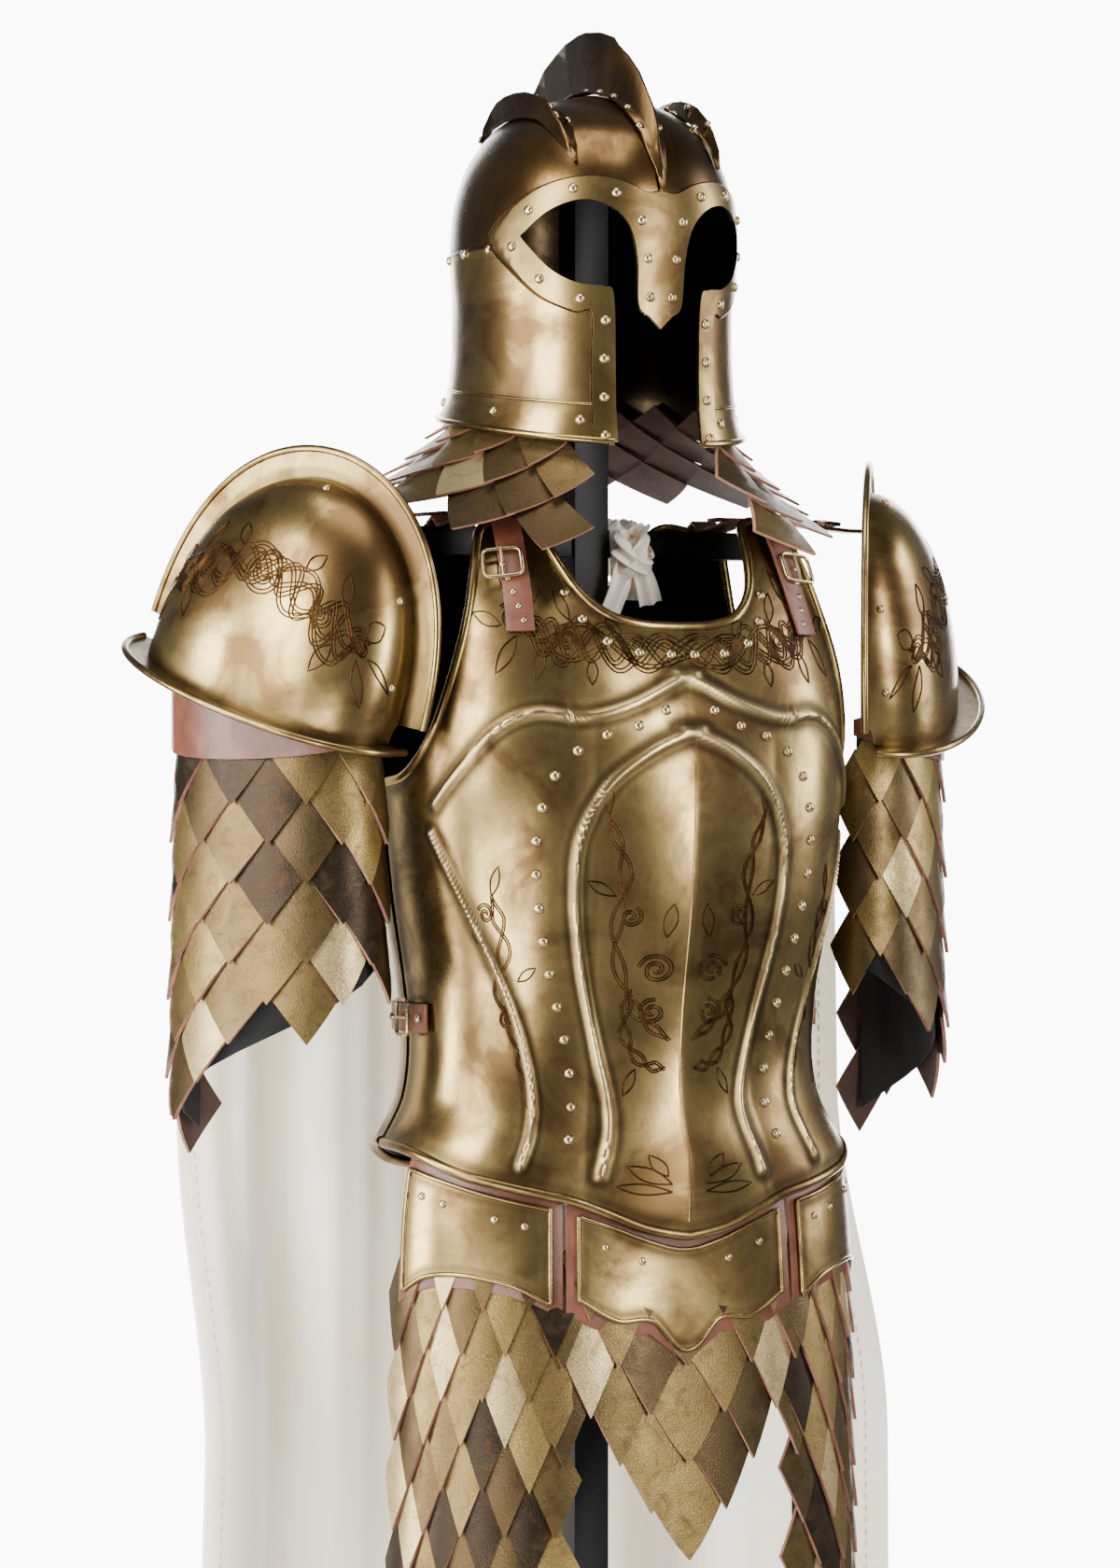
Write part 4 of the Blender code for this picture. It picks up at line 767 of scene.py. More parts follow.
def scales(name, surface, spots, size, thick, lift, raw, replaced, tip=1.0):
    """Pointed leather scales laid like tiles; spots are (a, b, tone, twist) and size the half width and
    the lengths above and below, in surface units. lift raises each scale's point off the next one."""
    grid = 5
    points, faces, tones, picks = [], [], [], []
    half, above, below = size
    for a, b, tone, twist in spots:
        start = len(points)
        corners = ((0.0, -above), (half, 0.0), (0.0, below), (-half, 0.0))
        for layer in (0, 1):
            for i in range(grid):
                for j in range(grid):
                    u, v = i / (grid - 1), j / (grid - 1)
                    x = (corners[0][0] * (1 - u) * (1 - v) + corners[1][0] * u * (1 - v)
                         + corners[2][0] * u * v + corners[3][0] * (1 - u) * v)
                    y = (corners[0][1] * (1 - u) * (1 - v) + corners[1][1] * u * (1 - v)
                         + corners[2][1] * u * v + corners[3][1] * (1 - u) * v)
                    t = (y + above) / (above + below)
                    bow = 0.0016 * (1 - (x / half) ** 2)
                    height = lift * t ** tip + bow + twist * x / half * t
                    points.append(surface(a + x, b + y, height + (thick if layer == 0 else 0.0)))
                    tones.append(tone)
        back = start + grid * grid
        for i in range(grid - 1):
            for j in range(grid - 1):
                p = start + i * grid + j
                faces.append((p, p + grid, p + grid + 1, p + 1))
                q = back + i * grid + j
                faces.append((q + 1, q + grid + 1, q + grid, q))
                picks += [0, 2]
        ring = ([i * grid for i in range(grid)] + [(grid - 1) * grid + j for j in range(1, grid)]
                + [i * grid + grid - 1 for i in range(grid - 2, -1, -1)] + list(range(grid - 2, 0, -1)))
        for p, q in zip(ring, ring[1:] + ring[:1]):
            faces.append((start + q, start + p, back + p, back + q))
            picks.append(1)
    a, b = spots[0][:2]
    centre = surface(a, b, -0.05)
    if (points[faces[0][1]] - points[faces[0][0]]).cross(points[faces[0][2]] - points[faces[0][1]]).dot(
            points[faces[0][0]] - centre) < 0:
        faces = [tuple(reversed(f)) for f in faces]
    return mesh_piece(name, points, faces, ("scale", raw, "flesh"), replaced, 32.0,
                      {"tone": tones}, picks)


def lattice(columns, rows, keep, dice, first=1):
    """(a, b, tone, twist) of the scales of a lozenge lattice, top row first."""
    spots = []
    for r in range(first, rows):
        for c in range(columns + 1):
            if (c + r) % 2 or not keep(c, r):
                continue
            tone = dice.uniform(0.22, 0.88)
            if dice.random() < 0.07:
                tone = 0.98
            if dice.random() < 0.07:
                tone = 0.0
            spots.append((c / columns, r / rows, tone, dice.uniform(-0.0012, 0.0012)))
    return spots


# Ornament: generic knots and scrolls, as lines in a flat frame measured in metres

def scroll(x, y, size, turns, way, start):
    """A spiral with an open end."""
    count = int(26 * turns)
    return [(x + way * size * (1 - 0.86 * k / count) * math.cos(start + 2 * math.pi * turns * k / count),
             y + size * (1 - 0.86 * k / count) * math.sin(start + 2 * math.pi * turns * k / count))
            for k in range(count + 1)]


def leaf(x, y, length, width, angle):
    """A pointed leaf's closed outline."""
    out = []
    for k in range(17):
        t = k / 16
        s = math.sin(math.pi * min(1.0, 2 * t if t <= 0.5 else 2 * (1 - t))) * width
        along = (2 * t if t <= 0.5 else 2 * (1 - t)) * length
        u, v = along, s if t <= 0.5 else -s
        out.append((x + u * math.cos(angle) - v * math.sin(angle),
                    y + u * math.sin(angle) + v * math.cos(angle)))
    return out


def braid(line, amplitude, waves, phases=(0.0, math.pi), flare=0.0):
    """Strands that wind about a line of flat points, more widely near its ends by flare."""
    dense = smoothed(line, 24)
    strands = []
    for phase in phases:
        strand = []
        for k, (x, y) in enumerate(dense):
            x2, y2 = dense[min(k + 1, len(dense) - 1)]
            x1, y1 = dense[max(k - 1, 0)]
            size = math.hypot(x2 - x1, y2 - y1) or 1.0
            t = k / (len(dense) - 1)
            w = amplitude * (1 + flare * abs(2 * t - 1)) * math.sin(phase + waves * 2 * math.pi * t)
            w *= min(1.0, 8 * t, 8 * (1 - t))
            strand.append((x - (y2 - y1) / size * w, y + (x2 - x1) / size * w))
        strands.append(strand)
    return strands


def doubled(line, half):
    """The two edges of a flat band that follows a line."""
    edges = ([], [])
    for k, (x, y) in enumerate(line):
        x2, y2 = line[min(k + 1, len(line) - 1)]
        x1, y1 = line[max(k - 1, 0)]
        size = math.hypot(x2 - x1, y2 - y1) or 1.0
        nx, ny = -(y2 - y1) / size * half, (x2 - x1) / size * half
        edges[0].append((x + nx, y + ny))
        edges[1].append((x - nx, y - ny))
    return list(edges)


def mirrored(lines):
    """Flat lines and their mirror images."""
    return lines + [[(-x, y) for x, y in line] for line in lines]


def etched(name, lines, place):
    """Etched lines: fine dark wires sunk in the plate; place(x, y) gives the point on it."""
    on_plate = [[place(x, y) for x, y in line] for line in lines]
    return tube(name, on_plate, settings().etch_width / 2, "etched", sides=0)


# Helm

OPENING = (
    (0.34, -0.20), (0.335, 0.20), (0.35, 0.400), (0.42, 0.428), (0.58, 0.437), (0.74, 0.478),
    (0.87, 0.560), (0.86, 0.585), (0.74, 0.640), (0.56, 0.665), (0.38, 0.645), (0.25, 0.590),
    (0.19, 0.500), (0.170, 0.378), (0.085, 0.346), (0.00, 0.314),
)
BAND = (
    (0.50, -0.20), (0.49, 0.20), (0.49, 0.355), (0.60, 0.362), (0.80, 0.415), (0.955, 0.530),
    (0.955, 0.615), (0.80, 0.695), (0.56, 0.728), (0.30, 0.715), (0.12, 0.685), (0.00, 0.690),
)
BAND_RIVETS = (
    (0.42, 0.02), (0.412, 0.20), (0.418, 0.375), (0.60, 0.398), (0.775, 0.445), (0.915, 0.545),
    (0.905, 0.605), (0.77, 0.668), (0.57, 0.698), (0.34, 0.682), (0.20, 0.640), (0.125, 0.540), (0.085, 0.400),
)


# share of the helm's height, angles of its studs from the front
HELM_STUDS = ((0.545, (1.34, 1.62, 2.05, 2.55)), (0.055, (0.55, 1.25, 2.1, 2.9)))
SEAM_SHARE = 0.555
SEAM_START = 1.27              # angle at which the seam comes out from behind the face band
BEAD_SHARE = 0.10
RIM_START = 0.31               # angle at which the rim starts, beside the face opening
BAND_OUT = 0.0021
BAND_WALL = 0.0018
BAND_RIVET_STEP = 0.030
HELM_RIVET = 0.0040
RIDGE_RIVET = 0.0034
RIDGE_CENTRE = Vector((0, HELM_CENTRE_Y, 1.69))
# node, place across as a share of the half width, rows of rivets, their first and last angle, count
RIDGES = (
    ("helm_comb", 0.0, (-0.0082, 0.0082), 24, 150, 13),
    ("helm_rib_right", -0.56, (-0.0055, 0.0055), 40, 122, 6),
    ("helm_rib_left", 0.56, (-0.0055, 0.0055), 40, 122, 6),
)


class ARMOUR_OT_helm(bpy.types.Operator):
    """Helm with its face band, comb, ribs, seam, rims and rivets"""
    bl_idname = "armour.helm"
    bl_label = "Helm"

    def execute(self, context):
        seam = HELM_BOTTOM_Z + HELM_HEIGHT * SEAM_SHARE

        # Darker just above the bead, along the seam and a little over the crown: painted shade in the corner
        # above the bead, with patina.
        def patina_and_shade(p):
            share = (p.z - HELM_BOTTOM_Z) / HELM_HEIGHT
            low = 0.7 * math.exp(-((share - 0.115) / 0.02) ** 2)
            line = 0.8 * math.exp(-((p.z - seam) / 0.003) ** 2)
            return max(low, line, 0.25 if share > 0.9 else 0.0)

        skull = cut(helm_shell("helm_shell", 0.0, HELM_WALL), outline_prism("cutter", OPENING), "DIFFERENCE")
        skull = dressed(skull, ("brass", "brown_brass", "inside"), ("helm",), 35.0,
                        {"patina_and_shade": patina_and_shade}, lambda p: 1 if p.z > seam else 0)
        tree = tree_of(skull)
        band = helm_shell("helm_face_band", BAND_OUT, BAND_WALL)
        band = cut(band, outline_prism("cutter", BAND), "INTERSECT")
        band = cut(band, outline_prism("cutter", OPENING), "DIFFERENCE")
        band = dressed(band, ("brass", "brown_brass", "inside"), ("helm_band",), 35.0,
                       {"patina_and_shade": lambda p: 0.15 if p.z < seam else 0.35}, lambda p: 0)
        band_tree = tree_of(band)
        places = []
        for side in (-1, 1):
            line = [Vector((x * HELM_HALF_WIDTH * side, 0, HELM_BOTTOM_Z + z * HELM_HEIGHT))
                    for x, z in smoothed(BAND_RIVETS, 12)]
            for at in spaced(line, BAND_RIVET_STEP):
                i = min(int(at), len(line) - 2)
                p = line[i].lerp(line[i + 1], at - i)
                found = hit(band_tree, (p.x, -0.5, p.z), (0, 1, 0))
                if found:
                    places.append(found)
        for side in (-1, 1):
            for share, angles in HELM_STUDS:
                places += [stud_at(lambda h: on_helm(side * a, share, h)) for a in angles]
        rivets("helm_rivets", places, HELM_RIVET)
        ring = spread(RIM_START, 2 * math.pi - RIM_START, 91)
        tube("helm_rim", [[on_helm(a, 0.0, 0.0006) for a in ring]], 0.0028)
        tube("helm_bead", [[on_helm(a, BEAD_SHARE, 0.0002) for a in ring]], 0.0013)
        seam_line = [on_helm(a, SEAM_SHARE, 0.0) for a in spread(SEAM_START, 2 * math.pi - SEAM_START, 70)]
        tube("helm_seam", [seam_line], 0.0009, "etched")
        brow = [hit(tree, (0, -0.5, HELM_BOTTOM_Z + HELM_HEIGHT * s), (0, 1, 0))
                for s in spread(0.33, 0.74, 14)]
        tube("helm_brow_crease", [[f[0] for f in brow if f]], 0.0012)
        # A dark line on the skull along the face band's edges: a painted shadow of the band, in the
        # etched-line material.
        edges = []
        for side in (-1, 1):
            line = [hit(tree, (side * x * HELM_HALF_WIDTH, -0.5, HELM_BOTTOM_Z + z * HELM_HEIGHT), (0, 1, 0))
                    for x, z in smoothed(BAND, 8) if z > 0.01]
            edges.append([f[0] for f in line if f])
        tube("helm_band_shadow", edges, 0.0012, "etched", sides=0)
        self.ridges()
        return {"FINISHED"}

    def ridges(self):
        """The comb and the ribs, with two rows of rivets through each one's feet."""
        places = []
        for name, aside, offsets, low, high, count in RIDGES:
            tree = tree_of(show_cad(name, "brown_brass", 50.0))
            for k in range(count):
                a = math.radians(low + (high - low) * k / (count - 1))
                way = Vector((0, -math.cos(a), math.sin(a)))
                for offset in offsets:
                    start = RIDGE_CENTRE + way * 0.3 + Vector((aside * HELM_HALF_WIDTH + offset, 0, 0))
                    found = hit(tree, start, -way)
                    if found:
                        places.append(found)
        rivets("ridge_rivets", places, RIDGE_RIVET)


def show_cad(name, material, angle, bevel=0.0):
    """Shows a CAD solid in its material, smooth but for edges sharper than angle, bevelled if asked."""
    node = NODES[name]
    node.data.materials.clear()
    node.data.materials.append(MATERIALS[material])
    weld = node.modifiers.new("weld", "WELD")
    weld.merge_threshold = 1e-5
    if bevel:
        edges = node.modifiers.new("bevel", "BEVEL")
        edges.width = bevel
        edges.segments = 2
        edges.limit_method = "ANGLE"
        edges.angle_limit = math.radians(angle)
        edges.harden_normals = False
    select(node)
    bpy.ops.object.shade_smooth_by_angle(angle=math.radians(angle))
    return node


# Cuirass

BREAST_EDGE = (
    (0.00, 0.850, 0.000), (0.08, 0.853, 0.012), (0.16, 0.868, 0.032), (0.23, 0.905, 0.048),
    (0.275, 0.955, 0.055), (0.305, 1.000, 0.058), (0.42, 1.000, 0.070), (0.52, 0.985, 0.080),
    (0.565, 0.930, 0.084), (0.61, 0.850, 0.090), (0.67, 0.770, 0.098), (0.75, 0.695, 0.108),
    (0.87, 0.645, 0.118), (1.00, 0.630, 0.122),
)
BACK_EDGE = (
    (0.00, 0.900, 0.060), (0.14, 0.910, 0.062), (0.24, 0.945, 0.066), (0.30, 1.000, 0.070),
    (0.46, 1.000, 0.080), (0.58, 0.985, 0.090), (0.66, 0.860, 0.100), (0.75, 0.740, 0.110),
    (0.87, 0.655, 0.120), (1.00, 0.630, 0.124),
)
ARCH = ((0.74, 0.600), (0.62, 0.655), (0.50, 0.705), (0.38, 0.728), (0.24, 0.722), (0.11, 0.742),
        (-0.012, 0.782))
PANEL = ((-0.012, 0.704), (0.09, 0.672), (0.19, 0.625), (0.26, 0.555), (0.275, 0.470), (0.255, 0.370),
         (0.21, 0.270), (0.17, 0.190), (0.165, 0.140), (0.185, 0.085))
FLUTE = ((0.76, 0.560), (0.66, 0.480), (0.55, 0.385), (0.46, 0.290), (0.40, 0.200), (0.385, 0.140),
         (0.40, 0.100))
CHANNEL = ((0.045, 0.732), (0.12, 0.708), (0.23, 0.688), (0.33, 0.640), (0.385, 0.560), (0.385, 0.470),
           (0.355, 0.370), (0.305, 0.280), (0.272, 0.200), (0.268, 0.135))
CHEST_RADIUS = 0.17            # mean radius of the body, for lengths around it
BREAST_SCALE = (BREAST_HALF_ANGLE * CHEST_RADIUS, TORSO_SPAN)   # metres for a whole share across and up


def on_breast(share, height_share, height=0.0):
    """A point over the breastplate, share across from -1 to 1."""
    return on_torso(share * BREAST_HALF_ANGLE, height_share, height)


def on_back(share, height_share, height=0.0):
    """A point over the backplate, share across from -1 to 1."""
    return on_torso(math.pi + share * BACK_HALF_ANGLE, height_share, height)


def metric(line):
    """A line of shares and its mirror image, in metres along the plate."""
    flat = [(x * BREAST_SCALE[0], y * BREAST_SCALE[1]) for x, y in smoothed(line, 8)]
    return [flat, [(-x, y) for x, y in flat]]


def plate_piece(name, surface, edge, columns, rows, lines, node):
    """A plate of the cuirass between its edges, with beads along lines, and its rolled rims."""
    def top(a):
        return smooth(edge, abs(a))[0]

    def low(a):
        return smooth(edge, abs(a))[1]

    flat, outer, patina_and_shade, bright = plate_grid(surface, low, top, columns, rows, BREAST_SCALE, lines)
    inner = [[surface(*flat[r * columns + c], -PLATE) for c in range(columns)] for r in range(rows)]
    points, faces = shell(outer, inner)
    faces = outward(faces, points, Vector((0, CHEST_CENTRE_Y, points[faces[0][0]].z)))
    zeros = [0.0] * len(patina_and_shade)
    picks = [1 if min(f) >= len(patina_and_shade) else 0 for f in faces]
    # The first values darken the plate with patina and painted shade, the second lighten the bead crests as a
    # painted highlight.
    piece = mesh_piece(name, points, faces, ("brass", "inside"), (node,), 50.0,
                       {"patina_and_shade": list(patina_and_shade) + zeros, "bright": list(bright) + zeros}, picks)
    ends = spread(-1, 1, 161)
    rims = [[surface(a, top(a), -0.0006) for a in ends], [surface(a, low(a), -0.0006) for a in ends]]
    tube(name + "_rims", rims, RIM_R * 0.95)
    return piece


# Ornament of the breastplate, right half, in metres from the middle and from the cuirass's point.
# Bands: amplitude, waves, phases. Stems: line, amplitude, waves, half width of the line.
# Scrolls: x, y, radius, turns, way, start. Leaves: x, y, length, width, angle.
CHEST_BANDS = ((0.0085, 7.0, (0.0, math.pi)), (0.0130, 4.0, (0.6, math.pi - 0.6)), (0.0100, 2.5, (1.9, 4.3)))
CHEST_SCROLLS = (
    (0.030, 0.4505, 0.0085, 1.5, 1, 0.7), (0.078, 0.4600, 0.0105, 1.7, -1, 0.7),
    (0.124, 0.4760, 0.0120, 1.8, 1, 0.7), (0.112, 0.5010, 0.0085, 1.5, -1, 0.7),
)
CHEST_LEAVES = (
    (0.124, 0.490, 0.036, 0.0055, 1.45), (0.134, 0.470, 0.030, 0.0050, 0.35),
    (0.120, 0.462, 0.036, 0.0055, -0.95), (0.098, 0.452, 0.026, 0.0045, -1.25),
    (0.106, 0.484, 0.034, 0.0050, 1.95), (0.074, 0.474, 0.026, 0.0045, 1.20),
    (0.060, 0.444, 0.020, 0.0040, -1.50), (0.036, 0.463, 0.016, 0.0035, 0.90),
)
PANEL_STEMS = (
    (((0.006, 0.150), (0.030, 0.175), (0.046, 0.225), (0.040, 0.280), (0.052, 0.325)), 0.0040, 3.0, 0.0009),
    (((0.008, 0.128), (0.024, 0.134), (0.037, 0.158), (0.034, 0.190)), 0.0035, 2.0, 0.0009),
)
PANEL_SCROLLS = (
    (0.017, 0.205, 0.012, 1.8, 1, 0.2), (0.018, 0.172, 0.010, 1.6, -1, 1.4),
    (0.036, 0.246, 0.008, 1.5, 1, 2.0),
)
PANEL_LEAVES = (
    (0.052, 0.325, 0.028, 0.004, 1.5), (0.046, 0.262, 0.024, 0.004, 0.5),
    (0.012, 0.230, 0.026, 0.004, 1.7), (0.028, 0.128, 0.022, 0.0035, -1.2),
)
SIDE_STEMS = (
    (((0.150, 0.262), (0.140, 0.225), (0.146, 0.188), (0.128, 0.150), (0.118, 0.118)), 0.006, 2.5, 0.0010),
)
SIDE_SCROLLS = ((0.157, 0.248, 0.008, 1.5, 1, 0.4), (0.140, 0.166, 0.008, 1.5, -1, 0.4))
SIDE_LEAVES = (
    (0.150, 0.262, 0.024, 0.004, 1.9), (0.160, 0.222, 0.020, 0.0035, 0.9),
    (0.118, 0.118, 0.026, 0.0035, -1.9), (0.128, 0.196, 0.020, 0.0035, 2.6),
)
FOOT_LEAVES = (
    (0.008, 0.040, 0.030, 0.005, 0.5), (0.008, 0.034, 0.034, 0.004, 0.15), (0.010, 0.046, 0.020, 0.004, 1.0),
)


def motif(stems, scrolls, scroll_half, leaves):
    """The lines of some wound stems, scrolls and leaves."""
    lines = []
    for stem, amplitude, waves, half in stems:
        for strand in braid(stem, amplitude, waves):
            lines += doubled(strand, half)
    for one in scrolls:
        lines += doubled(scroll(*one), scroll_half)
    return lines + [leaf(*one) for one in leaves]


def breast_ornament():
    """A chest band of wound bands between scrolls and leaves, a tendril pair on the panel and a
    stem on each side plate."""
    lines = []
    arc = [(x, 0.449 + 1.6 * x * x) for x in spread(-0.118, 0.118, 11)]
    for amplitude, waves, phases in CHEST_BANDS:
        for strand in braid(arc, amplitude, waves, phases, 0.9):
            lines += doubled(strand, 0.0014)
    return (lines + mirrored(motif((), CHEST_SCROLLS, 0.0011, CHEST_LEAVES))
            + mirrored(motif(PANEL_STEMS, PANEL_SCROLLS, 0.0010, PANEL_LEAVES))
            + mirrored(motif(SIDE_STEMS, SIDE_SCROLLS, 0.0009, SIDE_LEAVES))
            + mirrored(motif((), (), 0.0, FOOT_LEAVES)))


STRAP_STUD_Z = 1.395            # height of the second stud from below on a shoulder strap
BUCKLE_LIFT = 0.0024


class ARMOUR_OT_cuirass(bpy.types.Operator):
    """Breastplate and backplate with raised beads, rolled rims, rivets, etching, straps and buckles"""
    bl_idname = "armour.cuirass"
    bl_label = "Cuirass"

    def execute(self, context):
        lines = metric(ARCH) + metric(PANEL) + metric(FLUTE)
        plate_piece("breastplate_shell", on_breast, BREAST_EDGE, 261, 190, lines, "breastplate")
        plate_piece("backplate_shell", on_back, BACK_EDGE, 121, 80, [], "backplate")
        places = []
        for side in (-1, 1):
            places += rivets_on(on_breast, [(side * x, y) for x, y in CHANNEL], 0.027)
            neck = [(side * x, smooth(BREAST_EDGE, x)[0] - 0.040 - 0.02 * x) for x in spread(0.02, 0.265, 7)]
            places += rivets_on(on_breast, neck, 0.026)
        rivets("breast_rivets", places)

        def place(x, y):
            return on_breast(x / BREAST_SCALE[0], y / BREAST_SCALE[1], 0.0001)

        etched("breast_etching", breast_ornament(), place)
        keel = [on_breast(0.0, t, -0.0004) for t in spread(0.02, 0.66, 40)]
        tube("breast_keel", [keel], 0.0014)
        for side, word in ((-1, "right"), (1, "left")):
            self.straps(side, word)
        return {"FINISHED"}

    def straps(self, side, word):
        """The straps of one side, with their studs and buckles."""
        for name in ("shoulder_strap_", "side_strap_", "pauldron_strap_"):
            show_cad(name + word, "leather", 35.0, 0.0004)
        low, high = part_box("shoulder_strap_" + word)
        middle = (low.x + high.x) / 2
        tree = tree_of(NODES["shoulder_strap_" + word])
        front = [hit(tree, (middle + side * k * 0.0016, -0.5, STRAP_STUD_Z + 0.011 * k), (0, 1, 0))
                 for k in range(-1, 7)]
        places = [f for f in front if f]
        rivets("shoulder_studs_" + word, places, 0.0026)
        if len(places) > 3:
            point, normal = places[-2]
            buckle("shoulder_buckle_" + word, point + normal * 0.0026, normal, Vector((0, 0.25, 1)),
                   0.030, 0.024)
        start = (side * 0.6, -0.04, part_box("side_strap_" + word)[0].z + 0.011)
        found = hit(tree_of(NODES["side_strap_" + word]), start, (-side, 0, 0))
        if found:
            point, normal = found
            buckle("side_buckle_" + word, point + normal * BUCKLE_LIFT, normal, Vector((0, 1, 0)),
                   0.028, 0.022)
            studs = [(point + Vector((0, y, 0)), normal) for y in (-0.026, 0.024)]
            rivets("side_studs_" + word, studs, 0.0035)
        start = (side * 0.20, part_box("pauldron_strap_" + word)[0].y + 0.009, 1.7)
        found = hit(tree_of(NODES["pauldron_strap_" + word]), start, (0, 0, -1))
        if found:
            point, normal = found
            buckle("pauldron_buckle_" + word, point + normal * BUCKLE_LIFT, normal, Vector((1, 0, 0)),
                   0.028, 0.022)


def buckle(name, centre, normal, along, width, length):
    """A cast roller buckle: rounded frame and a tongue across it."""
    normal = Vector(normal).normalized()
    along = (Vector(along) - normal * Vector(along).dot(normal)).normalized()
    across = normal.cross(along)
    ring = []
    for k in range(24):
        a = 2 * math.pi * k / 24
        u, v = superellipse(a, 6.0)
        ring.append(centre + across * (u * width / 2) + along * (v * length / 2))
    tube(name, [ring], 0.0016, "rivet", closed=True)
    tongue = [centre - along * (length / 2) - normal * 0.0004, centre + normal * 0.001,
              centre + along * (length / 2 + 0.001) + normal * 0.0008]
    tube(name + "_tongue", [tongue], 0.0011, "rivet")


# Pauldrons, arm caps and sleeves: places on a pauldron are shares along and around its dome

PAULDRON_STUDS = ((-0.62, 0.16), (0.0, 0.12), (0.62, 0.16), (0.86, 0.45), (-0.86, 0.45))
PAULDRON_BANDS = ((0.0120, 2.5, (0.7, 3.9)), (0.0095, 5.0, (1.6, 4.7)))
PAULDRON_LEAVES = (
    (0.080, 0.010, 0.034, 0.0055, 1.35), (0.088, 0.002, 0.030, 0.0050, 0.35),
    (0.080, -0.008, 0.036, 0.0055, -1.10), (0.058, 0.012, 0.026, 0.0045, 1.9),
    (0.060, -0.014, 0.026, 0.0045, -1.9), (0.024, 0.014, 0.020, 0.0040, 1.2),
)
ETCHED_LENGTH = 0.135          # metres along the dome for a whole share
ETCHED_AROUND = 0.19           # metres around the dome for a whole share
CAP_STUD_DROP = 0.006
CAP_OUT = 0.0095               # face of the leather cap, out from the arm's middle form
SLEEVE_SCALES = (10, 11)       # columns and rows
SCALE_LIFT = 0.0068            # how far a scale's point stands off the next one
SCALE_SINK = 0.0018            # how far the scales sit into the depth of the CAD's field


def scale_size(columns, rows):
    """Half width, length above and length below of a lozenge scale, with its overlap."""
    return 1.02 / columns, 1.15 / rows, 1.28 / rows

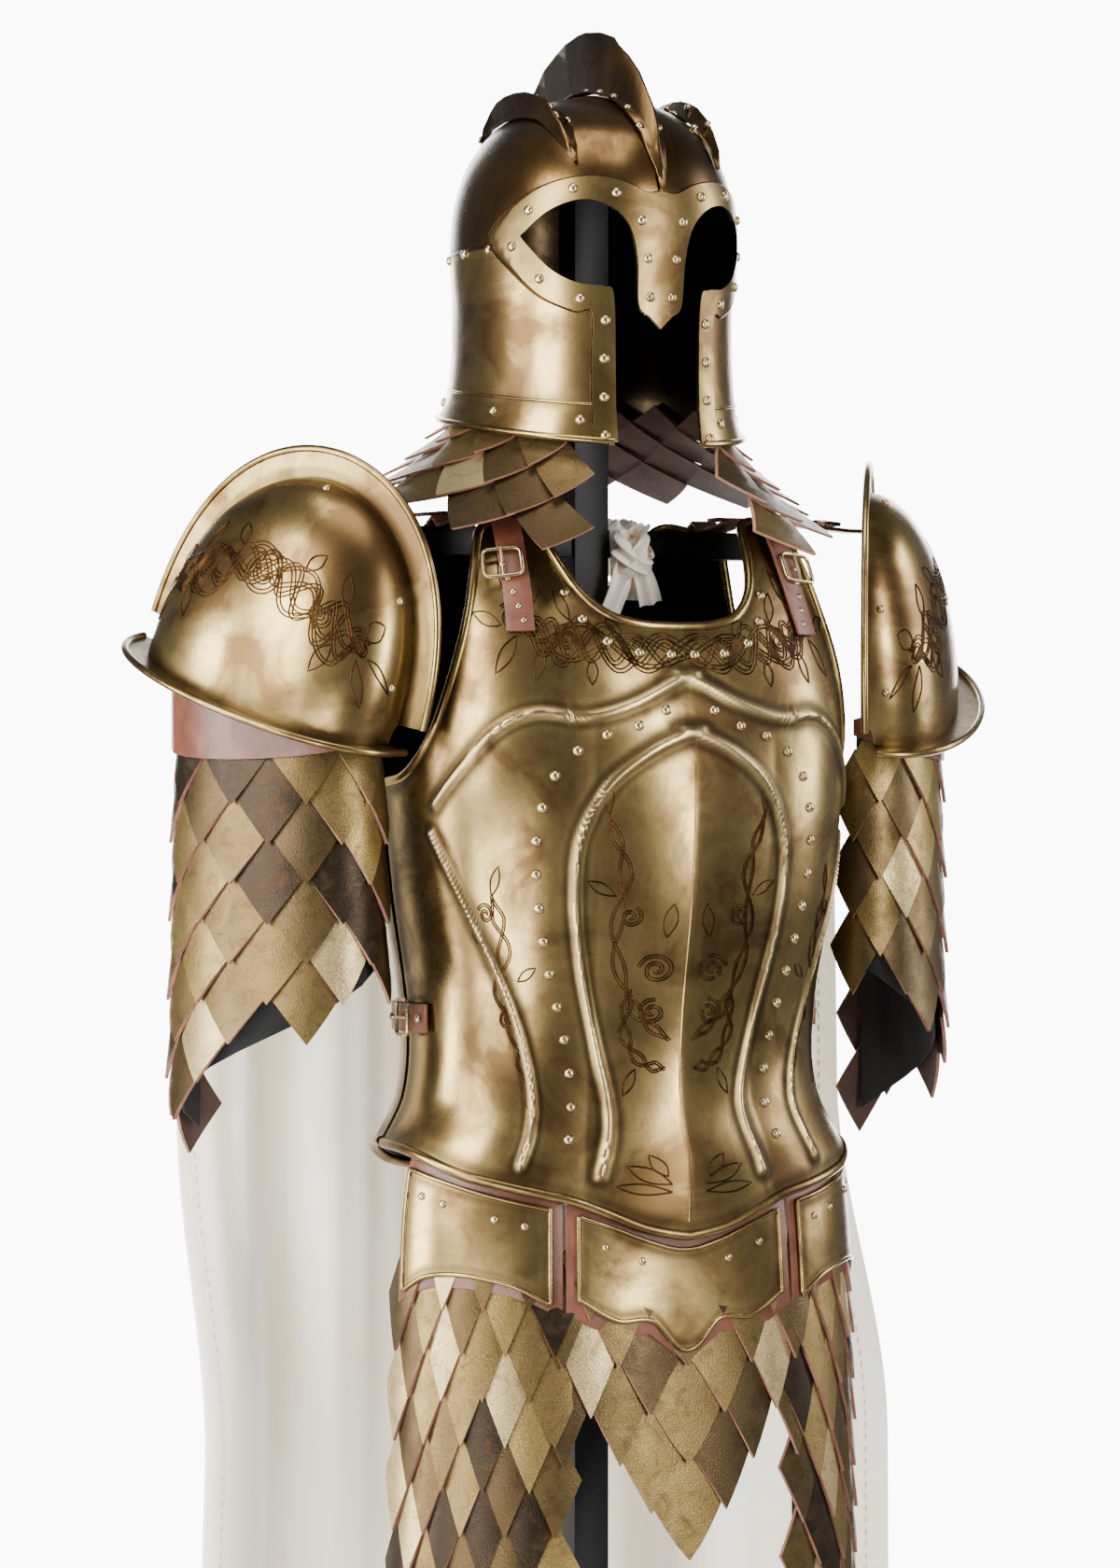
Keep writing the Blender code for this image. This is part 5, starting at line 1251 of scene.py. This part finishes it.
class ARMOUR_OT_shoulders(bpy.types.Operator):
    """Pauldrons with rims, rivets and an etched band, leather caps and scale sleeves"""
    bl_idname = "armour.shoulders"
    bl_label = "Shoulders"

    def execute(self, context):
        dice = random.Random(settings().seed)
        for side, word in ((-1, "right"), (1, "left")):
            self.pauldron(side, word)
            self.cap(side, word)
            self.sleeve(side, word, dice)
        return {"FINISHED"}

    def pauldron(self, side, word):
        """A dome with its upright flange, its brim, rolled rims, rivets and etched band."""
        along = [math.sin(x * math.pi / 2) for x in spread(-1, 1, 97)]
        arounds = spread(0.0, 1.0, 49)
        rows = [("flange", 1 - k / 6) for k in range(6)] + [("dome", r) for r in arounds] + [
            ("brim", (k + 1) / 5) for k in range(5)]

        def grid(offset):
            made = []
            for kind, value in rows:
                if kind == "flange":
                    made.append([pauldron_point(side, a, 0, 0.0, FLANGE * value)
                                 + shoulder_frame(side)[2] * offset for a in along])
                elif kind == "brim":
                    made.append([pauldron_point(side, a, 1, offset, BRIM * value) for a in along])
                else:
                    made.append([pauldron_point(side, a, value, offset) for a in along])
            return made

        outer, inner = grid(PLATE / 2), grid(-PLATE / 2)
        points, faces = shell(outer, inner)
        count = len(points) // 2
        i = (len(rows) // 2) * len(along) + len(along) // 2
        middle = shoulder_centre(side)
        sample = next(f for f in faces if i in f and max(f) < count)
        a, b, c = (points[k] for k in sample[:3])
        if (b - a).cross(c - a).dot(a - middle) < 0:
            faces = [tuple(reversed(f)) for f in faces]
        # Darker at the turns into the flange and the brim, towards the ends and on the inner faces: painted
        # shade there, with patina.
        patina_and_shade = []
        for kind, value in rows:
            if kind != "dome":
                dark = 0.5 if value < 0.35 else 0.1
            elif value > 0.9:
                dark = 0.6 * (value - 0.9) / 0.1
            else:
                dark = 0.7 * math.exp(-((value - 0.05) / 0.06) ** 2)
            patina_and_shade += [min(1.0, dark + 0.5 * max(0.0, abs(a) - 0.9) / 0.1) for a in along]
        picks = [1 if min(f) >= count else 0 for f in faces]
        mesh_piece("pauldron_shell_" + word, points, faces, ("brass", "inside"),
                   ("pauldron_" + word,), 55.0, {"patina_and_shade": patina_and_shade + [0.8] * count}, picks)
        tube("pauldron_rims_" + word, [[pauldron_point(side, a, 0, 0, FLANGE) for a in along],
                                       [pauldron_point(side, a, 1, 0, BRIM) for a in along]], 0.0030)
        places = [stud_at(lambda h: pauldron_point(side, a, r, h), PLATE / 2) for a, r in PAULDRON_STUDS]
        rivets("pauldron_rivets_" + word, places, 0.0034)
        arc = [(x, 0.006 * math.cos(3 * math.pi * x / 0.16)) for x in spread(-0.082, 0.082, 13)]
        lines = motif(((arc, 0.0085, 4.0, 0.0013),), (), 0.0, ())
        for amplitude, waves, phases in PAULDRON_BANDS:
            for strand in braid(arc, amplitude, waves, phases, 1.1):
                lines += doubled(strand, 0.0012)
        lines += doubled(scroll(0.0, 0.0, 0.015, 2.2, 1, 0.9), 0.0012)
        for way in (-1, 1):
            lines += doubled(scroll(way * 0.078, 0.004, 0.0105, 1.8, way, 0.9), 0.0011)
            lines += doubled(scroll(way * 0.044, -0.004, 0.0085, 1.5, -way, 2.0), 0.0010)
            for x, y, size, wide, angle in PAULDRON_LEAVES:
                lines.append(leaf(way * x, y, size, wide, angle if way > 0 else math.pi - angle))

        def place(x, y):
            return pauldron_point(side, x / ETCHED_LENGTH, 0.60 - y / ETCHED_AROUND, PLATE / 2 + 0.0001)

        etched("pauldron_etching_" + word, lines, place)

    def cap(self, side, word):
        """The leather cap under a pauldron, with a stud at each end."""
        show_cad("arm_cap_" + word, "leather", 40.0, 0.0005)
        places = [stud_at(lambda h: arm_point(side, a, SLEEVE_TOP_Z - CAP_STUD_DROP, h), CAP_OUT, 0.02)
                  for a in (0.86, -0.86)]
        rivets("cap_studs_" + word, places, 0.0034)

    def sleeve(self, side, word, dice):
        """The scales of a sleeve, shorter towards its front, and their black backing."""
        columns, rows = SLEEVE_SCALES

        def surface(a, b, height):
            z = SLEEVE_TOP_Z - SLEEVE_LENGTH * b
            return arm_point(side, 2 * a - 1, z, height + 0.006 * b - SCALE_SINK)

        spots = lattice(columns, rows, lambda c, r: r <= rows - 0.55 - 0.42 * c, dice)
        scales("sleeve_scales_" + word, surface, spots, scale_size(columns, rows),
               settings().scale_thickness, SCALE_LIFT, "raw", ("sleeve_" + word,))
        show_cad("sleeve_backing_" + word, "black", 40.0)


# Aventail, tassets and skirts

TASSET_FRONT = ((-1.0, 0.030, -0.085), (-0.6, 0.010, -0.115), (-0.25, -0.010, -0.118), (0.0, -0.020, -0.160),
                (0.25, -0.010, -0.118), (0.6, 0.010, -0.115), (1.0, 0.030, -0.085))
TASSET_SIDE = ((-1.0, 0.040, -0.092), (-0.6, 0.050, -0.066), (0.0, 0.066, -0.052), (0.6, 0.082, -0.056),
               (1.0, 0.092, -0.078))


TASSET_STUDS = (-0.72, -0.36, 0.36, 0.72)
TASSET_STUD_DROP = 0.030       # below the tasset's upper edge, as a share of the cuirass's height
TASSET_TURN = math.radians(53)
SKIRT_TURN = math.radians(54)
SKIRT_HALF_ANGLE = math.radians(26)
AVENTAIL_SCALES = (24, 5)      # columns and rows


class ARMOUR_OT_aventail(bpy.types.Operator):
    """Pointed leather scales hung from the helm's rim"""
    bl_idname = "armour.aventail"
    bl_label = "Aventail"

    def execute(self, context):
        dice = random.Random(settings().seed + 1)
        columns, rows = AVENTAIL_SCALES
        spots = lattice(columns, rows, lambda c, r: True, dice)
        scales("aventail_scales", aventail_point, spots, (1.02 / columns, 1.05 / rows, 1.25 / rows),
               settings().scale_thickness, 0.0100, "raw", ("aventail",), 1.6)
        return {"FINISHED"}


class ARMOUR_OT_skirts(bpy.types.Operator):
    """Brass tassets on leather, and the scale panels and black backings behind them"""
    bl_idname = "armour.skirts"
    bl_label = "Tassets and skirts"

    def execute(self, context):
        dice = random.Random(settings().seed + 2)
        flipped = [(-s, top, low) for s, top, low in reversed(TASSET_SIDE)]
        self.tasset("front", TASSET_FRONT, 0.0, math.radians(22))
        self.tasset("right", flipped, -TASSET_TURN, math.radians(24))
        self.tasset("left", TASSET_SIDE, TASSET_TURN, math.radians(24))
        self.skirt("front", 0.0, 0.300, 8, 8, lambda c, r: r <= 7 - 0.75 * abs(c - 4), dice)
        self.skirt("right", -SKIRT_TURN, 0.520, 8, 15, lambda c, r: True, dice)
        self.skirt("left", SKIRT_TURN, 0.520, 8, 15, lambda c, r: True, dice)
        return {"FINISHED"}

    def tasset(self, word, table, middle, half):
        """A brass tasset between the edges in table, with a bead round it, four studs and its leather."""
        columns, rows = 61, 30

        def edges(s):
            return smooth(table, s)

        def surface(s, b, height=0.0):
            return on_torso(middle + s * half, b, TASSET_LIFT + height)

        outer, inner, patina_and_shade = [], [], []
        for v in spread(0, 1, rows):
            line, under = [], []
            for s in spread(-1, 1, columns):
                top, low = edges(s)
                b = low + (top - low) * v
                high = (top - low) * TORSO_SPAN
                near = min(v * high, (1 - v) * high, (1 - abs(s)) * half * CHEST_RADIUS)
                line.append(surface(s, b))
                under.append(surface(s, b, -PLATE))
                # Darker in a band just inside the bead round the edge, and on the inner faces: painted shade
                # there, with patina.
                patina_and_shade.append(0.7 * math.exp(-((near - 0.005) / 0.004) ** 2))
            outer.append(line)
            inner.append(under)
        points, faces = shell(outer, inner)
        faces = outward(faces, points, Vector((0, CHEST_CENTRE_Y, points[faces[0][0]].z)))
        mesh_piece("tasset_plate_" + word, points, faces, "brass", ("tasset_" + word,), 50.0,
                   {"patina_and_shade": patina_and_shade + [0.8] * len(patina_and_shade)})
        line = (outer[0] + [row[-1] for row in outer[1:]] + outer[-1][-2::-1]
                + [row[0] for row in outer[-2:0:-1]])
        tube("tasset_bead_" + word, [line], 0.0019, closed=True)
        places = [stud_at(lambda h: surface(s, edges(s)[0] - TASSET_STUD_DROP, h)) for s in TASSET_STUDS]
        rivets("tasset_rivets_" + word, places, 0.0032)
        show_cad("tasset_%s_leather" % word, "leather", 40.0, 0.0005)

    def skirt(self, word, middle, length, columns, rows, keep, dice):
        """The scales of a hanging panel and their black backing."""
        base = TASSET_LIFT - PLATE - LEATHER * 2 - 0.0014

        def surface(a, b, height):
            share = (SKIRT_TOP_Z - CUIRASS_POINT_Z - length * b) / TORSO_SPAN
            return on_torso(middle + (2 * a - 1) * SKIRT_HALF_ANGLE, share, base + height - SCALE_SINK)

        spots = lattice(columns, rows, keep, dice)
        scales("skirt_scales_" + word, surface, spots, scale_size(columns, rows),
               settings().scale_thickness, SCALE_LIFT, "raw", ("skirt_" + word,))
        show_cad("skirt_%s_backing" % word, "black", 40.0)


# Cloak and its tie

# share of the cloak's half span, how far behind the middle plane as a share of CLOAK_TOP_Y
CLOAK_PLAN = ((0.0, 0.98), (0.5, 1.0), (0.8, 1.02), (1.0, 0.96))
CLOAK_FLARE = 0.10             # how much wider the hem is, as a share
CLOAK_FORWARD = 0.085          # how far the edges come forward below the sleeves
CLOAK_SAG = 0.020              # how far the top edge hangs down between the shoulders
CLOAK_AWAY = 0.0012            # clearance behind the pieces it hangs on
CREASE = 0.0032
RIPPLE = 0.0016
HEM_INSET = 0.955              # place of the stitched seams, as a share of the half span
STITCH_RADIUS = 0.0005
TIE_FRONT = -0.0135
TIE_LINE = (
    (0.030, TIE_FRONT, 1.428), (0.031, TIE_FRONT - 0.001, 1.455), (0.031, -0.012, 1.486),
    (0.040, 0.008, 1.4885), (0.060, 0.060, 1.493), (0.074, 0.100, 1.484), (0.080, 0.1135, 1.452),
)
# start, end and phase of the folds of each loose end
TIE_TAILS = (
    ((0.026, TIE_FRONT - 0.013, 1.462), (0.012, TIE_FRONT - 0.012, 1.418), 1.0),
    ((0.034, TIE_FRONT - 0.012, 1.462), (0.046, TIE_FRONT - 0.016, 1.424), 2.0),
)
TIE_KNOT = Vector((0.030, TIE_FRONT - 0.016, 1.466))
TIE_IN_KNOT = 0.24             # length that the knot and the loose ends take up
TIE_WALL = 0.0012


def eased(share):
    """A soft step from 0 to 1."""
    share = min(1.0, max(0.0, share))
    return share * share * (3 - 2 * share)


def cloak_point(a, b, height=0.0):
    """A point of the hanging cloak, a across its span from -1 to 1 and b down from 0 to 1."""
    span = CLOAK_HALF_SPAN * (1 + CLOAK_FLARE * b ** 0.7)
    behind = smooth(CLOAK_PLAN, abs(a))[0] * CLOAK_TOP_Y
    behind -= CLOAK_FORWARD * eased((b - 0.30) / 0.22) * eased((abs(a) - 0.62) / 0.38)
    wave = math.sin(a * math.pi * CLOAK_FOLDS + 0.6 * math.sin(3.1 * a + 1.7))
    wave += 0.35 * math.sin(a * math.pi * CLOAK_FOLDS * 0.47 + 1.1 + 0.8 * b)
    fold = CLOAK_FOLD * (0.35 + 0.65 * b) * wave
    fold += CREASE * math.sin(31.0 * a + 2.3 * math.sin(2.2 * b + 1.0) + 1.2) * (0.6 + 0.4 * b)
    fold += RIPPLE * math.sin(57.0 * a - 3.0 * b + 0.4) * (1 - 0.5 * b)
    sag = CLOAK_SAG * (1 - math.cos(a * math.pi)) * (1 - b)
    z = CLOAK_TOP_Z - (CLOAK_TOP_Z - CLOAK_HEM_Z) * b - sag
    return Vector((span * a, behind + fold + 0.02 * b + CLOAK_AWAY + height, z))


def area_of(grid):
    """The area of a grid of points."""
    total = 0.0
    for low, high in zip(grid, grid[1:]):
        for i in range(len(low) - 1):
            total += ((low[i + 1] - low[i]).cross(high[i] - low[i]).length
                      + (high[i] - high[i + 1]).cross(low[i + 1] - high[i + 1]).length) / 2
    return total


def gathered(line, width, folds, across_to, phase=0.0):
    """Grid of a cloth strip gathered into folds along a line of points."""
    count = 26
    grid = []
    for k, p in enumerate(line):
        way = (line[min(k + 1, len(line) - 1)] - line[max(k - 1, 0)]).normalized()
        across = (across_to - way * across_to.dot(way)).normalized()
        out = way.cross(across)
        grid.append([p + across * (width * (j / (count - 1) - 0.5))
                     + out * (0.0028 * math.sin(folds * 2 * math.pi * j / (count - 1) + phase + 0.11 * k))
                     for j in range(count)])
    return grid


class ARMOUR_OT_cloak(bpy.types.Operator):
    """Cotton cloak with soft vertical folds and a stitched hem, and its knotted tie"""
    bl_idname = "armour.cloak"
    bl_label = "Cloak"

    def execute(self, context):
        across, down = spread(-1, 1, 301), spread(0, 1, 61)
        outer = [[cloak_point(a, b, CLOAK_WALL) for a in across] for b in down]
        inner = [[cloak_point(a, b) for a in across] for b in down]
        points, faces = shell(outer, inner)
        cloak = mesh_piece("cloak_cloth", points, faces, "cotton", ("cloak",), 80.0)
        widths = [sum((q - p).length for p, q in zip(row, row[1:])) for row in outer]
        middle = len(across) // 2
        length = sum((q[middle] - p[middle]).length for p, q in zip(outer, outer[1:]))
        stitches = []
        for edge in (-1, 1):
            for height in (CLOAK_WALL * 1.6, -0.0003):
                line = [cloak_point(edge * HEM_INSET, b, height) for b in spread(0, 1, 260)]
                stitches += [line[i:i + 2] for i in range(0, len(line) - 1, 2)]
        seam = tube("cloak_stitches", stitches, STITCH_RADIUS, "thread", sides=0)
        area_of(outer)
        self.tie()
        return {"FINISHED"}

    def tie(self):
        """The tie over the shoulder bar, its two loose ends and the two turns of its knot."""
        line = [Vector(p) for p in smoothed(TIE_LINE, 8)]
        grids = [gathered(line, 0.026, 2.0, Vector((1, 0, 0)))]
        for start, end, phase in TIE_TAILS:
            tail = [Vector(start).lerp(Vector(end), t) + Vector((0, -0.004 * math.sin(t * math.pi), 0))
                    for t in spread(0, 1, 10)]
            grids.append(gathered(tail, 0.020, 1.5, Vector((1, 0, 0)), phase))
        for turn, tilt in ((0.0, 0.5), (1.2, -0.6)):
            ring = []
            for k in range(29):
                a = 2 * math.pi * k / 28
                p = Vector((0.017 * math.cos(a), 0.0095 * math.sin(a), 0.0075 * math.sin(a + turn)))
                p.rotate(Matrix.Rotation(tilt, 3, "Y"))
                ring.append(TIE_KNOT + p)
            grids.append(gathered(ring, 0.016, 1.5, Vector((0, 0, 1)), turn))
        points, faces = [], []
        for grid in grids:
            inner = []
            for k, row in enumerate(grid):
                step = (grid[min(k + 1, len(grid) - 1)][0] - grid[max(k - 1, 0)][0])
                out = step.cross(row[-1] - row[0]).normalized() * TIE_WALL
                inner.append([p - out for p in row])
            more, sides = shell(grid, inner)
            faces += [tuple(i + len(points) for i in f) for f in sides]
            points += more
        tie = mesh_piece("cloak_tie_cloth", points, faces, "cotton", ("cloak_tie",), 80.0)
        length = sum((q - p).length for p, q in zip(line, line[1:])) + TIE_IN_KNOT


# Stand and stage

class ARMOUR_OT_stand(bpy.types.Operator):
    """Black stand of square tube"""
    bl_idname = "armour.stand"
    bl_label = "Stand"

    def execute(self, context):
        show_cad("stand", "steel", 40.0, 0.0012)
        return {"FINISHED"}


AZIMUTH = math.radians(-25)    # direction from which the camera looks
AIM = Vector((0.0, 0.0, 1.28)) + Vector((math.cos(AZIMUTH), math.sin(AZIMUTH), 0)) * -0.019
DISTANCE = 4.20
LENS = 120.0                   # millimetres
WHITE = (1.0, 1.0, 1.0, 1.0)
WORLD_STRENGTH = 0.20
BACKDROP_GREY = (0.9, 0.9, 0.9, 1.0)
BACKDROP_STRENGTH = 9.0
BACKDROP_BEHIND = 2.6
BACKDROP_SIZE = (2.5, 3.2)
FLOOR_GREY = (0.42, 0.42, 0.42, 1.0)
FLOOR_SIZE = (9.0, 9.0)
# name, azimuth from the camera's, elevation, distance, size, power in watts, colour
LIGHTS = (
    ("key", -50, 20, 2.1, (0.9, 1.7), 92.0, (1.0, 0.98, 0.95)),
    ("strip", 40, 10, 1.9, (0.35, 1.7), 44.0, WHITE[:3]),
    ("top", -10, 72, 1.9, (1.2, 0.9), 26.0, WHITE[:3]),
    ("side", 100, 15, 2.0, (0.6, 1.6), 34.0, WHITE[:3]),
    ("low", -78, -4, 2.2, (0.6, 1.6), 70.0, WHITE[:3]),
    ("fill", -32, -22, 2.3, (1.6, 0.7), 55.0, WHITE[:3]),
)


def area_light(name, azimuth, elevation, distance, size, power, colour):
    """A softbox aimed at the armour, its azimuth counted from the camera's."""
    data = bpy.data.lights.new(name, "AREA")
    data.shape = "RECTANGLE"
    data.size, data.size_y = size
    data.energy = power
    data.color = colour
    lamp = bpy.data.objects.new(name, data)
    a, e = AZIMUTH + math.radians(azimuth), math.radians(elevation)
    back = Vector((math.sin(a) * math.cos(e), -math.cos(a) * math.cos(e), math.sin(e)))
    lamp.location = AIM + back * distance
    lamp.rotation_mode = "QUATERNION"
    lamp.rotation_quaternion = (-back).to_track_quat("-Z", "Y")
    bpy.context.scene.collection.objects.link(lamp)


def plane(name, centre, normal, size, material):
    """A flat sheet of the stage, which looks along normal."""
    mesh = bpy.data.meshes.new(name)
    turn = Vector(normal).to_track_quat("Z", "Y").to_matrix()
    corners = ((-1, -1), (1, -1), (1, 1), (-1, 1))
    mesh.from_pydata([tuple(Vector(centre) + turn @ Vector((x * size[0] / 2, y * size[1] / 2, 0)))
                      for x, y in corners], [], [(0, 1, 2, 3)])
    mesh.materials.append(material)
    obj = bpy.data.objects.new(name, mesh)
    bpy.context.scene.collection.objects.link(obj)
    return obj


def see_through_from_behind(tree, shader):
    """The backdrop's back face lets the suit be seen when the view goes round behind it."""
    behind = add_node(tree, "NewGeometry", {}, {}, "Backfacing")
    clear = add_node(tree, "BsdfTransparent", {}, {})
    seen = add_node(tree, "MixShader", {}, {0: behind, 1: shader.outputs[0], 2: clear})
    set_inputs(tree, tree.nodes["Material Output"], {"Surface": seen})


class ARMOUR_OT_stage(bpy.types.Operator):
    """Camera, studio lights, white backdrop and floor"""
    bl_idname = "armour.stage"
    bl_label = "Stage"

    def execute(self, context):
        data = bpy.data.cameras.new("camera")
        data.lens = LENS
        data.sensor_width = 36.0
        camera = bpy.data.objects.new("camera", data)
        back = Vector((math.sin(AZIMUTH), -math.cos(AZIMUTH), 0))
        camera.location = AIM + back * DISTANCE
        camera.rotation_mode = "QUATERNION"
        camera.rotation_quaternion = (-back).to_track_quat("-Z", "Y")
        context.scene.collection.objects.link(camera)
        context.scene.camera = camera
        world = bpy.data.worlds.new("studio")
        world.use_nodes = True
        sky = world.node_tree.nodes["Background"]
        set_inputs(world.node_tree, sky, {"Color": WHITE, "Strength": WORLD_STRENGTH})
        context.scene.world = world
        white, tree, shader = new_material("white_backdrop")
        set_inputs(tree, shader, {"Base Color": BACKDROP_GREY, "Emission Color": WHITE,
                                  "Emission Strength": BACKDROP_STRENGTH})
        see_through_from_behind(tree, shader)
        plane("backdrop", AIM - back * BACKDROP_BEHIND, back, BACKDROP_SIZE, white)
        floor, tree, shader = new_material("white_floor")
        set_inputs(tree, shader, {"Base Color": FLOOR_GREY})
        plane("floor", (0, 0, -0.001), (0, 0, 1), FLOOR_SIZE, floor)
        for light in LIGHTS:
            area_light(*light)
        return {"FINISHED"}


class ARMOUR_PT_panel(bpy.types.Panel):
    """Sizes, colours and pieces of the suit of armour"""
    bl_label = "Suit of armour"
    bl_idname = "ARMOUR_PT_panel"
    bl_space_type = "VIEW_3D"
    bl_region_type = "UI"
    bl_category = "Armour"

    def draw(self, context):
        for key in ArmourSettings.__annotations__:
            self.layout.prop(context.scene.armour, key)
        for operator in OPERATORS:
            self.layout.operator(operator.bl_idname)


OPERATORS = (ARMOUR_OT_stage, ARMOUR_OT_stand, ARMOUR_OT_cloak, ARMOUR_OT_helm, ARMOUR_OT_aventail,
             ARMOUR_OT_cuirass, ARMOUR_OT_shoulders, ARMOUR_OT_skirts)
CLASSES = (ArmourSettings, ARMOUR_PT_panel) + OPERATORS


def register():
    """Registers the classes and the scene's settings."""
    for one in CLASSES:
        bpy.utils.register_class(one)
    bpy.types.Scene.armour = PointerProperty(type=ArmourSettings)


def unregister():
    """Removes what register added."""
    del bpy.types.Scene.armour
    for one in reversed(CLASSES):
        bpy.utils.unregister_class(one)


def main():
    """Builds the stage and the pieces in order."""
    for name in ("Cube", "Light", "Camera"):
        if name in bpy.data.objects:
            bpy.data.objects.remove(bpy.data.objects[name])
    register()
    make_materials()
    bpy.ops.armour.stage()
    bpy.ops.armour.stand()
    bpy.ops.armour.cloak()
    bpy.ops.armour.helm()
    bpy.ops.armour.aventail()
    bpy.ops.armour.cuirass()
    bpy.ops.armour.shoulders()
    bpy.ops.armour.skirts()


if __name__ == "__main__":
    main()
